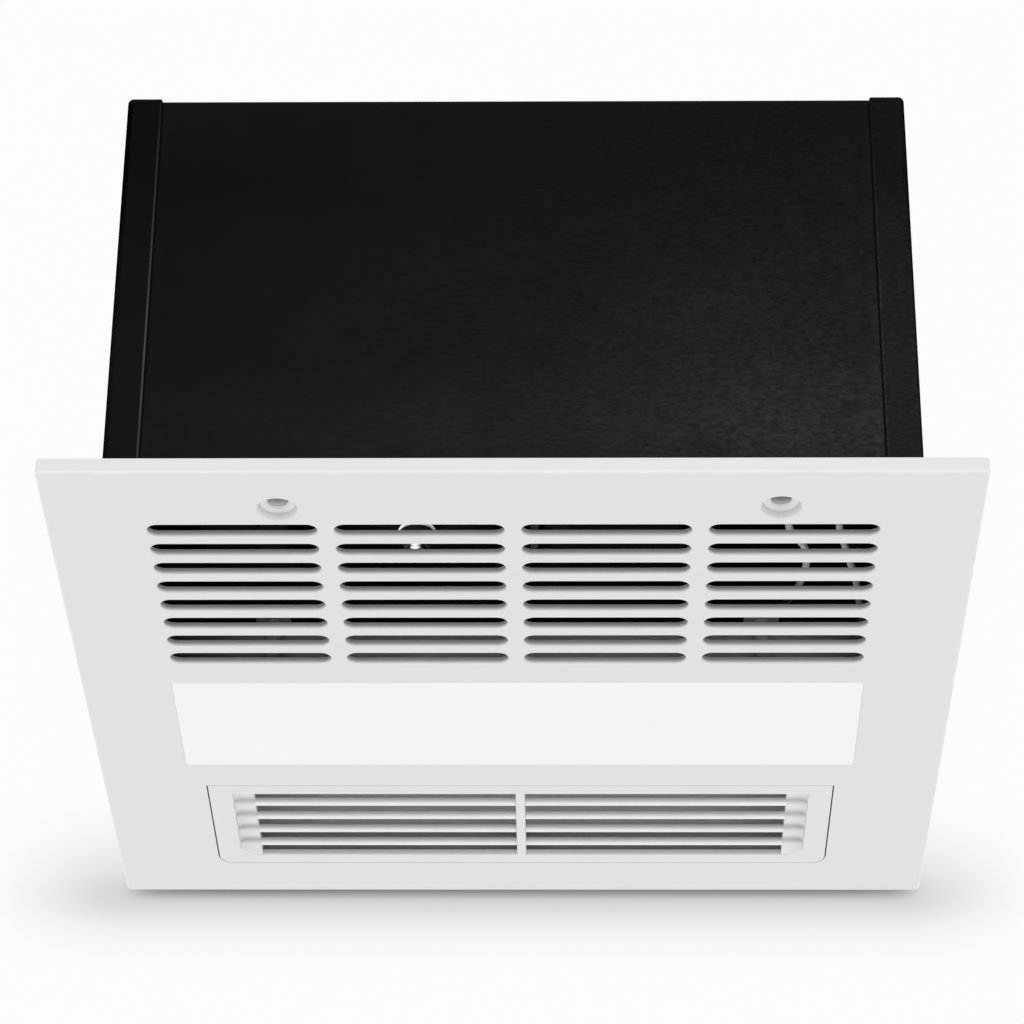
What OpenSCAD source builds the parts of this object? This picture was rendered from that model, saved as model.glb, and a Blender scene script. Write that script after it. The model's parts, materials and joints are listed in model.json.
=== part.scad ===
// Ceiling mounted fan heater with a flush light window and a tilting outlet louvre.
// Millimetres, +Z up. The origin is the centre of the front panel on the ceiling plane:
// the panel hangs below Z = 0 and the housing stands above it, between the joists.
// The intake slots are on the -Y side, the outlet louvre is on the +Y side.

/* [Front panel] */
// Side of the square front panel
panel_w = 400; // [396:1:410]
// Depth of the panel from the ceiling to its face
panel_t = 7.5; // [7:0.5:9]
// Plan radius of the panel's corners
panel_r = 4.5; // [2:0.5:5]
// Thickness of the panel's skin
skin = 3; // [2.5:0.1:3.2]
// Chamfer round the edge of the face
edge_c = 1.2; // [0.6:0.2:1.6]

/* [Intake slots] */
// Columns of slots
slot_cols = 4; // [2:2:4]
// Rows of slots
slot_rows = 8; // [4:1:8]
// Length of one slot
slot_len = 73; // [60:1:74]
// Width of one slot
slot_w = 9.5; // [7:0.5:10]
// Distance between columns
slot_px = 80.3; // [80:0.1:82]
// Distance between rows
slot_py = 16.03; // [15:0.01:16.2]
// Centre line of the first row
slot_y0 = -153.5; // [-155:0.5:-150]

/* [Light window] */
// Length of the window
lens_w = 317.2; // [300:0.2:318]
// Width of the window
lens_d = 81; // [76:1:82]
// Centre line of the window
lens_y = 22.6; // [21:0.1:24]
// Depth of the light box behind the panel
tray_h = 25.5; // [20:0.5:27]

/* [Outlet louvre] */
// Length of the tilting louvre
louvre_w = 300.4; // [298:0.2:302]
// Width of the louvre at its face
louvre_d = 83; // [82:0.5:84]
// Centre line of the louvre
louvre_y = 126.5; // [126:0.5:128]
// Height of the pivot above the louvre's face
pivot_h = 12; // [11:0.5:13]
// Height of the louvre frame
louvre_h = 15.5; // [14:0.5:16]
// Slats in the louvre
slat_n = 4; // [3:1:4]
// Distance between slats
slat_p = 14.25; // [13:0.05:14.5]
// Gap along the long seams
seam_gap = 0.4; // [0.35:0.05:0.6]

/* [Housing] */
// Outside width of the housing, between the end plates' faces
box_w = 348.6; // [346:0.2:352]
// Outside depth of the wrapped sheet
box_d = 366; // [360:1:370]
// Height of the wrapped sheet above the ceiling plane
box_h = 200.8; // [198:0.2:206]
// Thickness of the sheet steel
sheet = 1; // [0.8:0.1:1.2]
// Width of the end plates' flanges over the wrapped sheet
flange_w = 15.5; // [12:0.5:20]
// Radius of a joist screw hole
joist_r = 2.6; // [2:0.1:3]

/* [Blower] */
// Blower axis, along X
fan_x = -45.5; // [-47:0.5:-44]
// Blower axis, along Y
fan_y = -59; // [-60:0.5:-57]
// Outside radius of the wheel
wheel_r = 75; // [72:0.5:76]
// Blades in the wheel
blade_n = 36; // [24:1:44]
// Radius of the motor shaft
shaft_r = 4; // [3.5:0.1:4]
// Radial clearance of the shaft in its bearings
run_gap = 0.05; // [0.02:0.01:0.09]

/* [Cable inlet] */
// Bore radius of the cable bushing
inlet_r = 8; // [6:0.5:9]

/* [Hidden] */

e = 0.02;
face_z = -panel_t;                 // face of the panel
back_z = -panel_t + skin;          // inner face of the panel's skin
hx = box_w / 2;                    // outer face of an end plate
hy = box_d / 2;                    // outer face of the wrapped sheet
piv_z = face_z + pivot_h;          // louvre pivot height
drum_r = sqrt(pow(louvre_d / 2, 2) + pow(pivot_h, 2));
open_r = drum_r + seam_gap;
lw = louvre_w / 2;
end_gap = 0.6;                     // gap at the louvre's ends
screw_at = [[-99.9, -170.7], [114, -171.9]];
posts = [[-112, lens_y - 48.6], [112, lens_y - 48.6], [-112, lens_y + 48.9], [112, lens_y + 48.9]];
well_at = [[-160.5, 98], [-160.5, 157], [160.5, 98], [160.5, 157]];
hooks_x = [-90, 90];
tray_z = back_z + tray_h;          // top of the light box
s0 = 42;                           // underside of the blower casing
s1 = 140;                          // underside of the casing's cover
cover_t = 1.5;
duct_y0 = 38;
dy0 = louvre_y - 44.5; dy1 = louvre_y + 44.5;   // mouth of the outlet duct
duct_x = 152;
joist_y = [-130, 130];
joist_z = [25, 165];
inlet_at = [-150, 95];             // Y and Z of the cable inlet in the right end plate

// Points of a rectangle with rounded corners
function rr(w, d, r, n = 6) = [for (c = [0:3]) for (i = [0:n])
  let (a = 90 * c + 90 * i / n, sx = (c == 0 || c == 3) ? 1 : -1, sy = (c < 2) ? 1 : -1)
  [sx * (w / 2 - r) + r * cos(a), sy * (d / 2 - r) + r * sin(a)]];
// Points of an arc
function arc(cx, cy, r, a0, a1, n = 8) = [for (i = [0:n])
  let (a = a0 + (a1 - a0) * i / n) [cx + r * cos(a), cy + r * sin(a)]];
// Radius of the blower casing at an angle, from the tongue at 60 degrees
function spiral(a) = wheel_r + 5 + 40 * (a - 60) / 300;
function on_fan(a, r) = [fan_x + r * cos(a), fan_y + r * sin(a)];

module plate(w, d, h, r, z0, n = 6) translate([0, 0, z0]) linear_extrude(h) polygon(rr(w, d, r, n));
module box3(x0, x1, y0, y1, z0, z1) translate([x0, y0, z0]) cube([x1 - x0, y1 - y0, z1 - z0]);
module rod(p, r, z0, z1, fn = 32) translate([p[0], p[1], z0]) cylinder(r = r, h = z1 - z0, $fn = fn);
// A rod along X
module xrod(x0, x1, y, z, r, fn = 32) translate([x0, y, z]) rotate([0, 90, 0]) cylinder(r = r, h = x1 - x0, $fn = fn);
// A rod along Y
module yrod(x, y0, y1, z, r, fn = 32) translate([x, y0, z]) rotate([-90, 0, 0]) cylinder(r = r, h = y1 - y0, $fn = fn);
// A Y-Z outline pulled along X
module along_x(x0, x1) translate([x0, 0, 0]) rotate([90, 0, 90]) linear_extrude(x1 - x0) children();
// A pan head screw that points down: the underside of its head is at z
module pan_screw(p, z, r, len, hr, hh) {
  rod(p, r, z - len, z + e);
  difference() {
    union() { rod(p, hr, z, z + hh * 0.6); rod(p, hr * 0.72, z + hh * 0.6 - e, z + hh); }
    translate([p[0], p[1], z + hh - 0.9]) {
      translate([-hr * 0.55, -0.35, 0]) cube([hr * 1.1, 0.7, 2]);
      translate([-0.35, -hr * 0.55, 0]) cube([0.7, hr * 1.1, 2]);
    }
  }
}
// The same screw pointing along -X (dir = 1) or +X (dir = -1) from an outside face at x
module side_screw(x, y, z, dir, r, len, hr, hh)
  translate([x, y, z]) rotate([0, dir * 90, 0]) pan_screw([0, 0], 0, r, len, hr, hh);

// ---------------------------------------------------------------- housing
// Sheet wrapped over the near side, the top and the far side, with a flange turned in at each foot
module wrap_profile() difference() {
  polygon(concat([[-hy, 0]], [[-hy + 20, 0], [-hy + 20, sheet], [-hy + sheet, sheet]],
    arc(-hy + 2.5, box_h - 2.5, 1.5, 180, 90, 4), arc(hy - 2.5, box_h - 2.5, 1.5, 90, 0, 4),
    [[hy - sheet, sheet], [hy - 8, sheet], [hy - 8, 0], [hy, 0]],
    arc(hy - 2.5, box_h - 2.5, 2.5, 0, 90, 4), arc(-hy + 2.5, box_h - 2.5, 2.5, 90, 180, 4)));
}
blower_hangers = [for (a = [150, 210, 270, 330]) on_fan(a, spiral(a) - 10)];
duct_hangers = [[-120, 62], [120, 62], [-120, 115], [120, 115]];
hangers = concat(blower_hangers, duct_hangers);
rivet_y = [-140, 0, 140];
rivet_z = [60, 160];
module housing_wrap() color([0.1, 0.1, 0.11]) difference() {
  along_x(-hx + sheet, hx - sheet) wrap_profile();
  for (p = screw_at) rod(p, 1.95, -1, 3);
  for (x = hooks_x) box3(x - 9, x + 9, hy - 6.2, hy - 2.9, -1, 3);
  for (p = hangers) rod(p, 2.1, box_h - 3, box_h + 1);
  for (s = [-1, 1], y = rivet_y) rod([s * (hx - 8), y], 1.65, box_h - 3, box_h + 1);
  for (s = [-1, 1], z = rivet_z) yrod(s * (hx - 8), hy - 3, hy + 3, z, 1.65);
}
// Right end plate: a flat plate with flanges folded over the wrapped sheet
module end_plate() difference() {
  union() {
    box3(hx - sheet, hx, -hy - sheet, hy + sheet, 0, box_h + sheet);
    box3(hx - flange_w, hx - sheet + e, -hy - sheet, -hy, 0, box_h + sheet);
    box3(hx - flange_w, hx - sheet + e, hy, hy + sheet, 0, box_h + sheet);
    box3(hx - flange_w, hx - sheet + e, -hy - sheet, hy + sheet, box_h, box_h + sheet);
    box3(hx - 8, hx - sheet + e, -hy + 24, 92, 0, sheet);
    box3(hx - 8, hx - sheet + e, 162, hy - 9, 0, sheet);
  }
  for (y = rivet_y) rod([hx - 8, y], 1.65, box_h - 3, box_h + 3);
  for (z = rivet_z) yrod(hx - 8, hy - 3, hy + 3, z, 1.65);
  for (y = joist_y, z = joist_z) xrod(hx - 3, hx + 2, y, z, joist_r);
}
module end_plate_left() color([0.1, 0.1, 0.11]) mirror([1, 0, 0]) end_plate();
module end_plate_right() color([0.1, 0.1, 0.11]) difference() {
  end_plate();
  xrod(hx - 3, hx + 2, inlet_at[0], inlet_at[1], 11);
  xrod(hx - 3, hx + 2, -105, 70, 2);
}
module rivet() { cylinder(r = 1.6, h = 4.2, $fn = 24); translate([0, 0, 3.2]) cylinder(r = 3.2, h = 1.3, $fn = 32); translate([0, 0, -0.6]) cylinder(r = 2.3, h = 1.3, $fn = 24); }
module end_plate_rivets() color([0.55, 0.55, 0.57]) {
  for (s = [-1, 1], y = rivet_y) translate([s * (hx - 8), y, box_h + sheet - 3.2]) rivet();
  for (s = [-1, 1], z = rivet_z) translate([s * (hx - 8), hy + sheet - 3.2, z]) rotate([-90, 0, 0]) rivet();
}

// ---------------------------------------------------------------- panel
// Outline of the louvre opening, seen from below: square near corners, rounded far corners
module louvre_plan(x, y0, y1, r) polygon(concat([[-x, y0], [x, y0]],
  arc(x - r, y1 - r, r, 0, 90), arc(-x + r, y1 - r, r, 90, 180)));
module front_panel() color([0.93, 0.93, 0.93]) difference() {
  union() {
    difference() {
      plate(panel_w, panel_w, panel_t, panel_r, face_z);
      plate(panel_w - 6, panel_w - 6, panel_t, 1.5, back_z);
      for (a = [0:3]) rotate([0, 0, 90 * a]) translate([panel_w / 2, 0, face_z]) rotate([0, 45, 0])
        cube([edge_c * sqrt(2), panel_w + 10, edge_c * sqrt(2)], center = true);
    }
    for (p = screw_at) rod(p, 8, back_z - 0.5, -0.1);
    for (p = posts) rod(p, 1.5, back_z - 0.5, back_z + 6);
    for (p = well_at) rod(p, 3.5, back_z - 0.5, 0);
    for (x = hooks_x) {
      box3(x - 7.5, x + 7.5, hy - 6, hy - 4, back_z - 0.5, 5);
      box3(x - 7.5, x + 7.5, hy - 4 - e, hy - 1.5, 1.6, 3.4);
    }
    for (x = [-80.3, 0, 80.3]) box3(x - 1, x + 1, -164, -34, back_z - 0.5, back_z + 2.5);
  }
  for (i = [0:slot_cols - 1], j = [0:slot_rows - 1])
    translate([(i - (slot_cols - 1) / 2) * slot_px, slot_y0 + j * slot_py, 0])
      plate(slot_len, slot_w, skin + 2, slot_w / 2 - 0.01, face_z - 1);
  translate([0, lens_y, 0]) plate(lens_w, lens_d, skin + 2, 2, face_z - 1);
  intersection() {
    xrod(-lw - 1, lw + 1, louvre_y, piv_z, open_r, 96);
    translate([0, 0, face_z - 1]) linear_extrude(skin + 2) union() {
      louvre_plan(lw + end_gap, louvre_y - 60, louvre_y + louvre_d / 2 + 1, 8.5);
      polygon([[-lw - end_gap, louvre_y - 60], [lw + end_gap, louvre_y - 60], [lw + end_gap, louvre_y + 34], [-lw - end_gap, louvre_y + 34]]);
    }
  }
  for (p = screw_at) {
    translate([p[0], p[1], face_z - e]) cylinder(r1 = 8.9, r2 = 7.7, h = 2.5, $fn = 48);
    rod(p, 5, face_z, -1.2, 48);
    rod(p, 2.2, face_z, 2);
  }
  for (p = well_at) rod(p, 1.45, back_z, 1);
}
module panel_screws() color([0.75, 0.75, 0.77]) for (p = screw_at)
  translate([p[0], p[1], -1.25]) mirror([0, 0, 1]) pan_screw([0, 0], 0, 1.9, 11, 4.2, 2.2);

// ---------------------------------------------------------------- light
module led_lens() color([0.97, 0.97, 0.97]) translate([0, lens_y, 0]) union() {
  plate(lens_w - 0.1, lens_d - 0.1, skin + 0.2, 1.95, face_z);
  plate(lens_w + 3, lens_d + 3, 1.5, 2, back_z);
}
module led_tray() color([0.78, 0.79, 0.8]) translate([0, lens_y, 0]) difference() {
  union() {
    plate(lens_w + 7, lens_d + 7, tray_h, 2, back_z);
    for (p = posts) translate([p[0], p[1] - lens_y, 0]) plate(16, 9, 1, 1.5, tray_z - 1);
    for (p = posts) if (p[1] < lens_y) box3(p[0] - 8, p[0] + 8, -58.2, -42, tray_z - 1, tray_z);
    for (p = posts) box3(p[0] - 8, p[0] + 8, min(p[1] - lens_y, sign(p[1] - lens_y) * 42), max(p[1] - lens_y, sign(p[1] - lens_y) * 42), tray_z - 1, tray_z);
  }
  plate(lens_w + 5, lens_d + 5, tray_h, 1, back_z - 1);
  for (p = posts) rod([p[0], p[1] - lens_y], 1.6, tray_z - 3, tray_z + 1);
  rod([135, -28], 4, tray_z - 3, tray_z + 1, 24);
}
module led_board() color([0.92, 0.93, 0.9]) translate([0, lens_y, 0]) plate(300, 66, 1.6, 2, tray_z - 2.7);
module led_chips() color([0.95, 0.9, 0.6]) for (i = [-5.5:5.5], j = [-1:1])
  translate([i * 25, lens_y + j * 22, tray_z - 3.5]) translate([-1.75, -1.5, 0]) cube([3.5, 3, 0.8]);
module led_tray_screws() color([0.8, 0.8, 0.82]) for (p = posts) pan_screw(p, tray_z, 1.5, 7.5, 3, 2);
// Spacers that carry the light box's ears, each on a spigot of the panel
module tray_spacers() color([0.12, 0.12, 0.12]) for (p = posts) difference() {
  rod(p, 4, back_z, tray_z - 1);
  rod(p, 1.55, back_z - 1, back_z + 6.5);
  rod(p, 1.55, tray_z - 10, tray_z);
}
module led_driver() color([0.9, 0.9, 0.88]) difference() {
  translate([120, 11, 0]) plate(68, 42, 21, 2, tray_z);
  for (x = [90, 150]) box3(x - 1.5, x + 1.5, -20, 40, tray_z + 16, tray_z + 22);
}

// ---------------------------------------------------------------- louvre well and its motor
module louvre_well() color([0.9, 0.9, 0.9]) difference() {
  union() {
    box3(-156, 156, louvre_y - 46.5, louvre_y + 46.5, back_z, 21);
    for (p = well_at) translate([p[0], p[1], 0]) box3(-sign(p[0]) * 5.5 - 4.5, -sign(p[0]) * 5.5 + 4.5 + 0, -4.5, 4.5, 0, 2);
    for (p = well_at) rod(p, 4.5, 0, 2);
  }
  box3(-154, 154, louvre_y - 44.5, louvre_y + 44.5, back_z - 1, 22);
  for (p = well_at) rod(p, 1.5, -1, 3);
  xrod(-158, -150, louvre_y, piv_z, 2.5 + run_gap);
  xrod(150, 158, louvre_y, piv_z, 5);
  for (s = [-1, 1]) xrod(150, 158, louvre_y + s * 17.5, piv_z + 8, 1.55);
}
module well_screws() color([0.8, 0.8, 0.82]) for (p = well_at) pan_screw(p, 2, 1.4, 5.6, 2.8, 1.8);
module outlet_seal() color([0.25, 0.25, 0.26]) difference() {
  box3(-155.5, 155.5, louvre_y - 46, louvre_y + 46, 21, 22);
  box3(-151, 151, louvre_y - 43.5, louvre_y + 43.5, 20, 23);
}
module louvre_motor() color([0.7, 0.71, 0.73]) difference() {
  union() {
    xrod(156.2, 171, louvre_y, piv_z + 8, 14, 64);
    xrod(154.2, 157, louvre_y, piv_z, 4.5);
    translate([156.1, louvre_y - 21, piv_z + 4.5]) cube([1, 42, 7]);
    translate([160, louvre_y - 8, piv_z + 20]) cube([8, 16, 5]);
  }
  xrod(150, 165, louvre_y, piv_z, 2.5 + run_gap);
  for (s = [-1, 1]) xrod(150, 158, louvre_y + s * 17.5, piv_z + 8, 1.55);
}
module louvre_motor_screws() color([0.8, 0.8, 0.82]) for (s = [-1, 1])
  side_screw(157.1, louvre_y + s * 17.5, piv_z + 8, 1, 1.5, 4.4, 2.6, 1.6);

// ---------------------------------------------------------------- louvre
rec_x = 138.8;                     // half length of the recess
rec_y0 = -33; rec_y1 = 32.5;       // recess, from the pivot line
land_x = 128.6;                    // half length of the openings
rib_w = 4.7;
slat_y = [for (i = [0:slat_n - 1]) -23.5 + i * slat_p];
lip_h = 3.7;                       // height of the far lip below the hollow back
module louvre_frame() color([0.93, 0.93, 0.93]) union() {
  louvre_shell();
  // the lands each side of the openings: stepped like the slats, whose lines they carry on
  for (s = [-1, 1]) translate([0, louvre_y, face_z]) along_x(s > 0 ? land_x : -rec_x - e, s > 0 ? rec_x + e : -land_x) land_profile();
}
module louvre_shell() translate([0, louvre_y, 0]) difference() {
  intersection() {
    xrod(-lw, lw, 0, piv_z, drum_r, 96);
    translate([0, 0, face_z]) linear_extrude(louvre_h) louvre_plan(lw, -60, louvre_d / 2 + 0.5, 8);
  }
  // recess in the face, with the two far corners cut across
  translate([0, 0, face_z - 1]) linear_extrude(4) difference() {
    polygon([[-rec_x, rec_y0], [rec_x, rec_y0], [rec_x, rec_y1 - 6.5], [rec_x - 6.5, rec_y1],
      [-rec_x + 6.5, rec_y1], [-rec_x, rec_y1 - 6.5]]);
    translate([-rib_w / 2, -50]) square([rib_w, 100]);
  }
  // openings each side of the rib
  for (s = [-1, 1]) box3(s > 0 ? rib_w / 2 : -land_x, s > 0 ? land_x : -rib_w / 2, rec_y0 + 0.3, rec_y1 - 0.1, face_z - 1, face_z + louvre_h + 1);
  // behind the far lip the hollow starts lower
  for (s = [-1, 1]) box3(s > 0 ? rib_w / 2 : -land_x, s > 0 ? land_x : -rib_w / 2, rec_y1 - 1, rec_y1 + 5, face_z + lip_h, face_z + 7);
  // hollow back, above the recess floor
  box3(-lw + 8, -rib_w / 2, rec_y0 - 5, rec_y1 + 5, face_z + 6, face_z + louvre_h + 1);
  box3(rib_w / 2, lw - 8, rec_y0 - 5, rec_y1 + 5, face_z + 6, face_z + louvre_h + 1);
  xrod(-lw - 1, -lw + 8.1, 0, piv_z, 2.5);
  xrod(lw - 8.1, lw + 1, 0, piv_z, 2.5);
}
// One curved slat, in the Y-Z plane: it rises steeply from the recess and turns flat towards its far lower edge
module slat_profile() polygon(concat([[0.3, 4], [0, 3.6]], [for (i = [1:8]) [3 - 3 * cos(i * 11.25), 3.6 - 3.4 * sin(i * 11.25)]],
  [[3.45, 0.35], [3.65, 0.8], [3.45, 1.25]], [for (i = [6:-1:0]) [3 - 1.8 * cos(i * 15), 3.6 - 2.2 * sin(i * 15)]], [[0.95, 4]]));
// Stepped face of the lands, in the Y-Z plane
module land_profile() polygon(concat([[rec_y1 + 0.2, 3.2], [rec_y0 - 0.2, 3.2], [rec_y0 - 0.2, 0.5]],
  [for (y = slat_y) each concat([[y + 0.1, 2.6]], [for (i = [2:8]) [y + 3 - 3 * cos(i * 11.25), 3.6 - 3.4 * sin(i * 11.25)]], [[y + 3.4, 0.25]])],
  [[rec_y1 + 0.2, 0.25]]));
module louvre_slats() color([0.95, 0.95, 0.95]) translate([0, louvre_y, face_z]) for (y = slat_y, s = [-1, 1])
  translate([0, y, 0]) along_x(s > 0 ? rib_w / 2 : -land_x, s > 0 ? land_x : -rib_w / 2) slat_profile();
module louvre_pivot_pin() color([0.75, 0.75, 0.77]) xrod(-160, -lw + 8, louvre_y, piv_z, 2.5);
module louvre_drive_shaft() color([0.75, 0.75, 0.77]) xrod(lw - 8, 164.5, louvre_y, piv_z, 2.5);

// ---------------------------------------------------------------- outlet duct and heater
module duct_profile(g) polygon(concat([[duct_y0 + g, s0 - 1 + g], [dy0 + g, s0 - 1 + g], [dy0 + g, 22 - g],
  [dy1 - g, 22 - g]], arc(dy1 - 41, 100, 41 - g, 0, 90, 10), [[duct_y0 + g, 141 - g]]));
module outlet_duct() color([0.7, 0.71, 0.72]) difference() {
  along_x(-duct_x, duct_x) duct_profile(0);
  along_x(-duct_x + 1, duct_x - 1) duct_profile(1);
  box3(-duct_x + 1, duct_x - 1, dy0 + 1, dy1 - 1, 20, 24);
  box3(fan_x + 40, fan_x + 119.5, duct_y0 - 1, duct_y0 + 2, 43.5, 139);
  for (s = [-1, 1], y = [100, 155]) xrod(s * 151.5 - 2, s * 151.5 + 2, y, 58, 1.6);
  box3(150, 153, 114, 141, 50, 66);
  xrod(150, 153, 128, 90, 6.5);
  for (p = duct_hangers) rod(p, 2.1, 139, 142);
}
h0 = 46; h1 = 70;
module heater_frame() color([0.2, 0.2, 0.2]) difference() {
  box3(-150, 150, 88, 167, h0, h1);
  box3(-138, 138, 90, 165, h0 - 1, h1 + 1);
  for (s = [-1, 1], y = [100, 155]) xrod(s > 0 ? 142 : -151, s > 0 ? 151 : -142, y, 58, 1.55);
}
bar_y = [103.5, 124, 144.5];
fin_y = [90, 110.5, 131, 151.5];
module ptc_bars() color([0.82, 0.83, 0.84]) for (y = bar_y) difference() {
  box3(-137.9, 137.9, y, y + 7, h0 + 2, h1 - 2);
  box3(-138.5, -120, y + 2, y + 5, h0 + 4, h1 - 4);
}
fin_n = 66;
function zig(i, o) = [-137 + 274 * i / fin_n, (i % 2 == 0 ? 0.3 : 13.2 - 0.5) + o];
module ptc_fins() color([0.85, 0.86, 0.87]) for (y = fin_y) translate([0, y, h0 + 3]) linear_extrude(h1 - h0 - 6)
  polygon(concat([for (i = [0:fin_n]) zig(i, 0)], [for (i = [fin_n:-1:0]) zig(i, 0.5)]));
module heater_terminals() color([0.85, 0.78, 0.5]) for (y = [117, 124, 131, 138])
  box3(150, 159, y - 2.4, y + 2.4, 57.6, 58.4);
module heater_screws() color([0.8, 0.8, 0.82]) for (s = [-1, 1], y = [100, 155])
  side_screw(s * duct_x, y, 58, s, 1.5, 8, 3, 2);
module thermal_cutout() color([0.15, 0.15, 0.16]) difference() {
  union() {
    xrod(152, 153, 128, 90, 11, 48);
    xrod(153 - e, 161, 128, 90, 8.5, 48);
    xrod(148.5, 152 + e, 128, 90, 6.3, 48);
    for (s = [-1, 1]) box3(161 - e, 168, 128 + s * 4 - 0.4, 128 + s * 4 + 0.4, 86.8, 93.2);
  }
}
module thermal_fuse() color([0.85, 0.86, 0.86]) {
  box3(152, 153, 92, 108, 82, 94);
  yrod(156, 93, 107, 88, 2.6, 24);
  box3(153 - e, 155, 98, 102, 85.6, 90.4);
}

// ---------------------------------------------------------------- blower casing
ears = [120, 170, 228, 285, 340];
module casing_out() polygon(concat([for (i = [0:30]) let (a = 75 + 285 * i / 30) on_fan(a, spiral(a) + 1.2)],
  [[fan_x + 121.2, duct_y0 - 0.1], [fan_x + 38.8, duct_y0 - 0.1]]));
module casing_in() polygon(concat([for (i = [0:32]) let (a = 60 + 300 * i / 32) on_fan(a, spiral(a))],
  [[fan_x + 120, duct_y0 + 5], [fan_x + 40, duct_y0 + 5]]));
module scroll_casing() color([0.72, 0.73, 0.74]) difference() {
  union() {
    translate([0, 0, s0]) linear_extrude(s1 - s0) casing_out();
    for (a = ears) rod(on_fan(a, spiral(a) + 3.5), 4, s1 - 12, s1);
  }
  translate([0, 0, s0 + 1.2]) linear_extrude(s1) casing_in();
  rod([fan_x, fan_y], 64, s0 - 1, s0 + 5, 96);
  for (a = ears) rod(on_fan(a, spiral(a) + 4.2), 1.55, s1 - 10, s1 + 1);
  for (a = [30:60:330]) rod(on_fan(a, 69), 1.6, s0 - 1, s0 + 3);
}
module scroll_cover() color([0.72, 0.73, 0.74]) difference() {
  union() {
    translate([0, 0, s1]) linear_extrude(cover_t) casing_out();
    for (a = ears) rod(on_fan(a, spiral(a) + 3.5), 4.2, s1, s1 + cover_t);
  }
  rod([fan_x, fan_y], 42, s1 - 1, s1 + 3, 96);
  for (a = ears) rod(on_fan(a, spiral(a) + 4.2), 1.6, s1 - 1, s1 + 3);
  for (a = [45:90:315]) rod(on_fan(a, 47), 2.2, s1 - 1, s1 + 3);
  for (p = blower_hangers) rod(p, 2.1, s1 - 1, s1 + 3);
}
module scroll_screws() color([0.8, 0.8, 0.82]) {
  for (a = ears) pan_screw(on_fan(a, spiral(a) + 4.2), s1 + cover_t, 1.5, 9, 2.8, 2);
  for (a = [30:60:330]) translate([fan_x + 69 * cos(a), fan_y + 69 * sin(a), s0 - 1.2]) mirror([0, 0, 1])
    pan_screw([0, 0], 0, 1.5, 5, 2.6, 1.7);
}
module inlet_ring() color([0.2, 0.2, 0.21]) translate([fan_x, fan_y, 0]) difference() {
  rotate_extrude($fn = 96) polygon(concat([[72, s0 - 1.2], [72, s0], [62.5, s0]],
    arc(62.5, s0 + 2, 2, 270, 180, 4), [[60.5, s0 + 11], [59, s0 + 11]],
    arc(64, s0 + 3.8, 5, 180, 270, 6)));
  for (a = [30:60:330]) rod([69 * cos(a), 69 * sin(a)], 1.6, s0 - 3, s0 + 1);
}
module hanger_standoffs() color([0.78, 0.78, 0.8]) {
  for (p = blower_hangers) hanger(p, s1 + cover_t);
  for (p = duct_hangers) hanger(p, 141);
}
module hanger(p, z) difference() {
  union() { rod(p, 4, z, box_h - sheet); rod(p, 2, z - 2.4, z + e); }
  rod(p, 2.05, box_h - 12, box_h);
}
module hanger_screws() color([0.8, 0.8, 0.82]) for (p = hangers) pan_screw(p, box_h, 2, 9, 3.6, 2.2);

// ---------------------------------------------------------------- blower wheel and motor
m0 = 68;                           // lower end of the motor
module fan_turn(fn = 96) translate([fan_x, fan_y, 0]) rotate_extrude($fn = fn) children();
module blade() translate([0, 0, 51]) linear_extrude(78) polygon(concat(
  [for (i = [0:5]) let (t = i / 5, r = wheel_r - 11.5 + 10.5 * t, a = 9 * t * t + 1.5 * t) [r * cos(a), r * sin(a)]],
  [for (i = [5:-1:0]) let (t = i / 5, r = wheel_r - 11.5 + 10.5 * t, a = 9 * t * t + 1.5 * t - 1.1) [r * cos(a), r * sin(a)]]));
module blower_wheel() color([0.16, 0.16, 0.17]) union() {
  fan_turn() polygon([[wheel_r - 9, 50], [wheel_r, 50], [wheel_r, 52], [wheel_r - 9, 52]]);
  fan_turn() polygon([[10.1, 60], [47, 60], [50.4, 128], [wheel_r, 128], [wheel_r, 130], [48.4, 130], [45, 62], [10.1, 62]]);
  for (i = [0:blade_n - 1]) translate([fan_x, fan_y, 0]) rotate([0, 0, 360 * i / blade_n]) blade();
}
module wheel_hub() color([0.8, 0.81, 0.82]) fan_turn() polygon([[shaft_r, 50], [9, 50], [10, 51], [10, 57], [16, 57],
  [16, 60], [10.05, 60], [10.05, 66], [shaft_r, 66]]);
module hub_nut() color([0.85, 0.85, 0.87]) translate([fan_x, fan_y, 0]) difference() {
  union() {
    translate([0, 0, 49]) cylinder(r = 9, h = 1, $fn = 64);
    translate([0, 0, 40]) cylinder(r1 = 5.6, r2 = 8.2, h = 9 + e, $fn = 64);
    translate([0, 0, 38]) cylinder(r = 4.8, h = 2 + e, $fn = 6);
  }
  translate([0, 0, 30]) cylinder(r = 3, h = 30, $fn = 32);
}
module motor_shaft() color([0.75, 0.76, 0.78]) fan_turn(48) polygon([[0, 36.6], [2.4, 36.6], [3, 37.2], [3, 50], [shaft_r, 50],
  [shaft_r, 158], [0, 158]]);
module motor_rotor() color([0.45, 0.45, 0.47]) fan_turn() polygon([[shaft_r, 90], [12, 90], [12, 93], [20, 93], [20, 129],
  [12, 129], [12, 132], [shaft_r, 132]]);
module motor_can() color([0.78, 0.79, 0.8]) difference() {
  union() {
    fan_turn() polygon([[9, m0], [13, m0], [13, 76], [40, 76], [40, 150], [13, 150], [13, 157.5], [9, 157.5],
      [9, 156.6], [11.02, 156.6], [11.02, 148.5], [38.5, 148.5], [38.5, 77.5], [11.02, 77.5], [11.02, 69.4], [9, 69.4]]);
    for (a = [45:90:315]) translate([fan_x, fan_y, 143.2]) rotate([0, 0, a]) translate([38, -6, 0]) cube([14, 12, 1.8]);
  }
  for (a = [45:90:315]) rod(on_fan(a, 47), 2.2, 140, 150);
}
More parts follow.
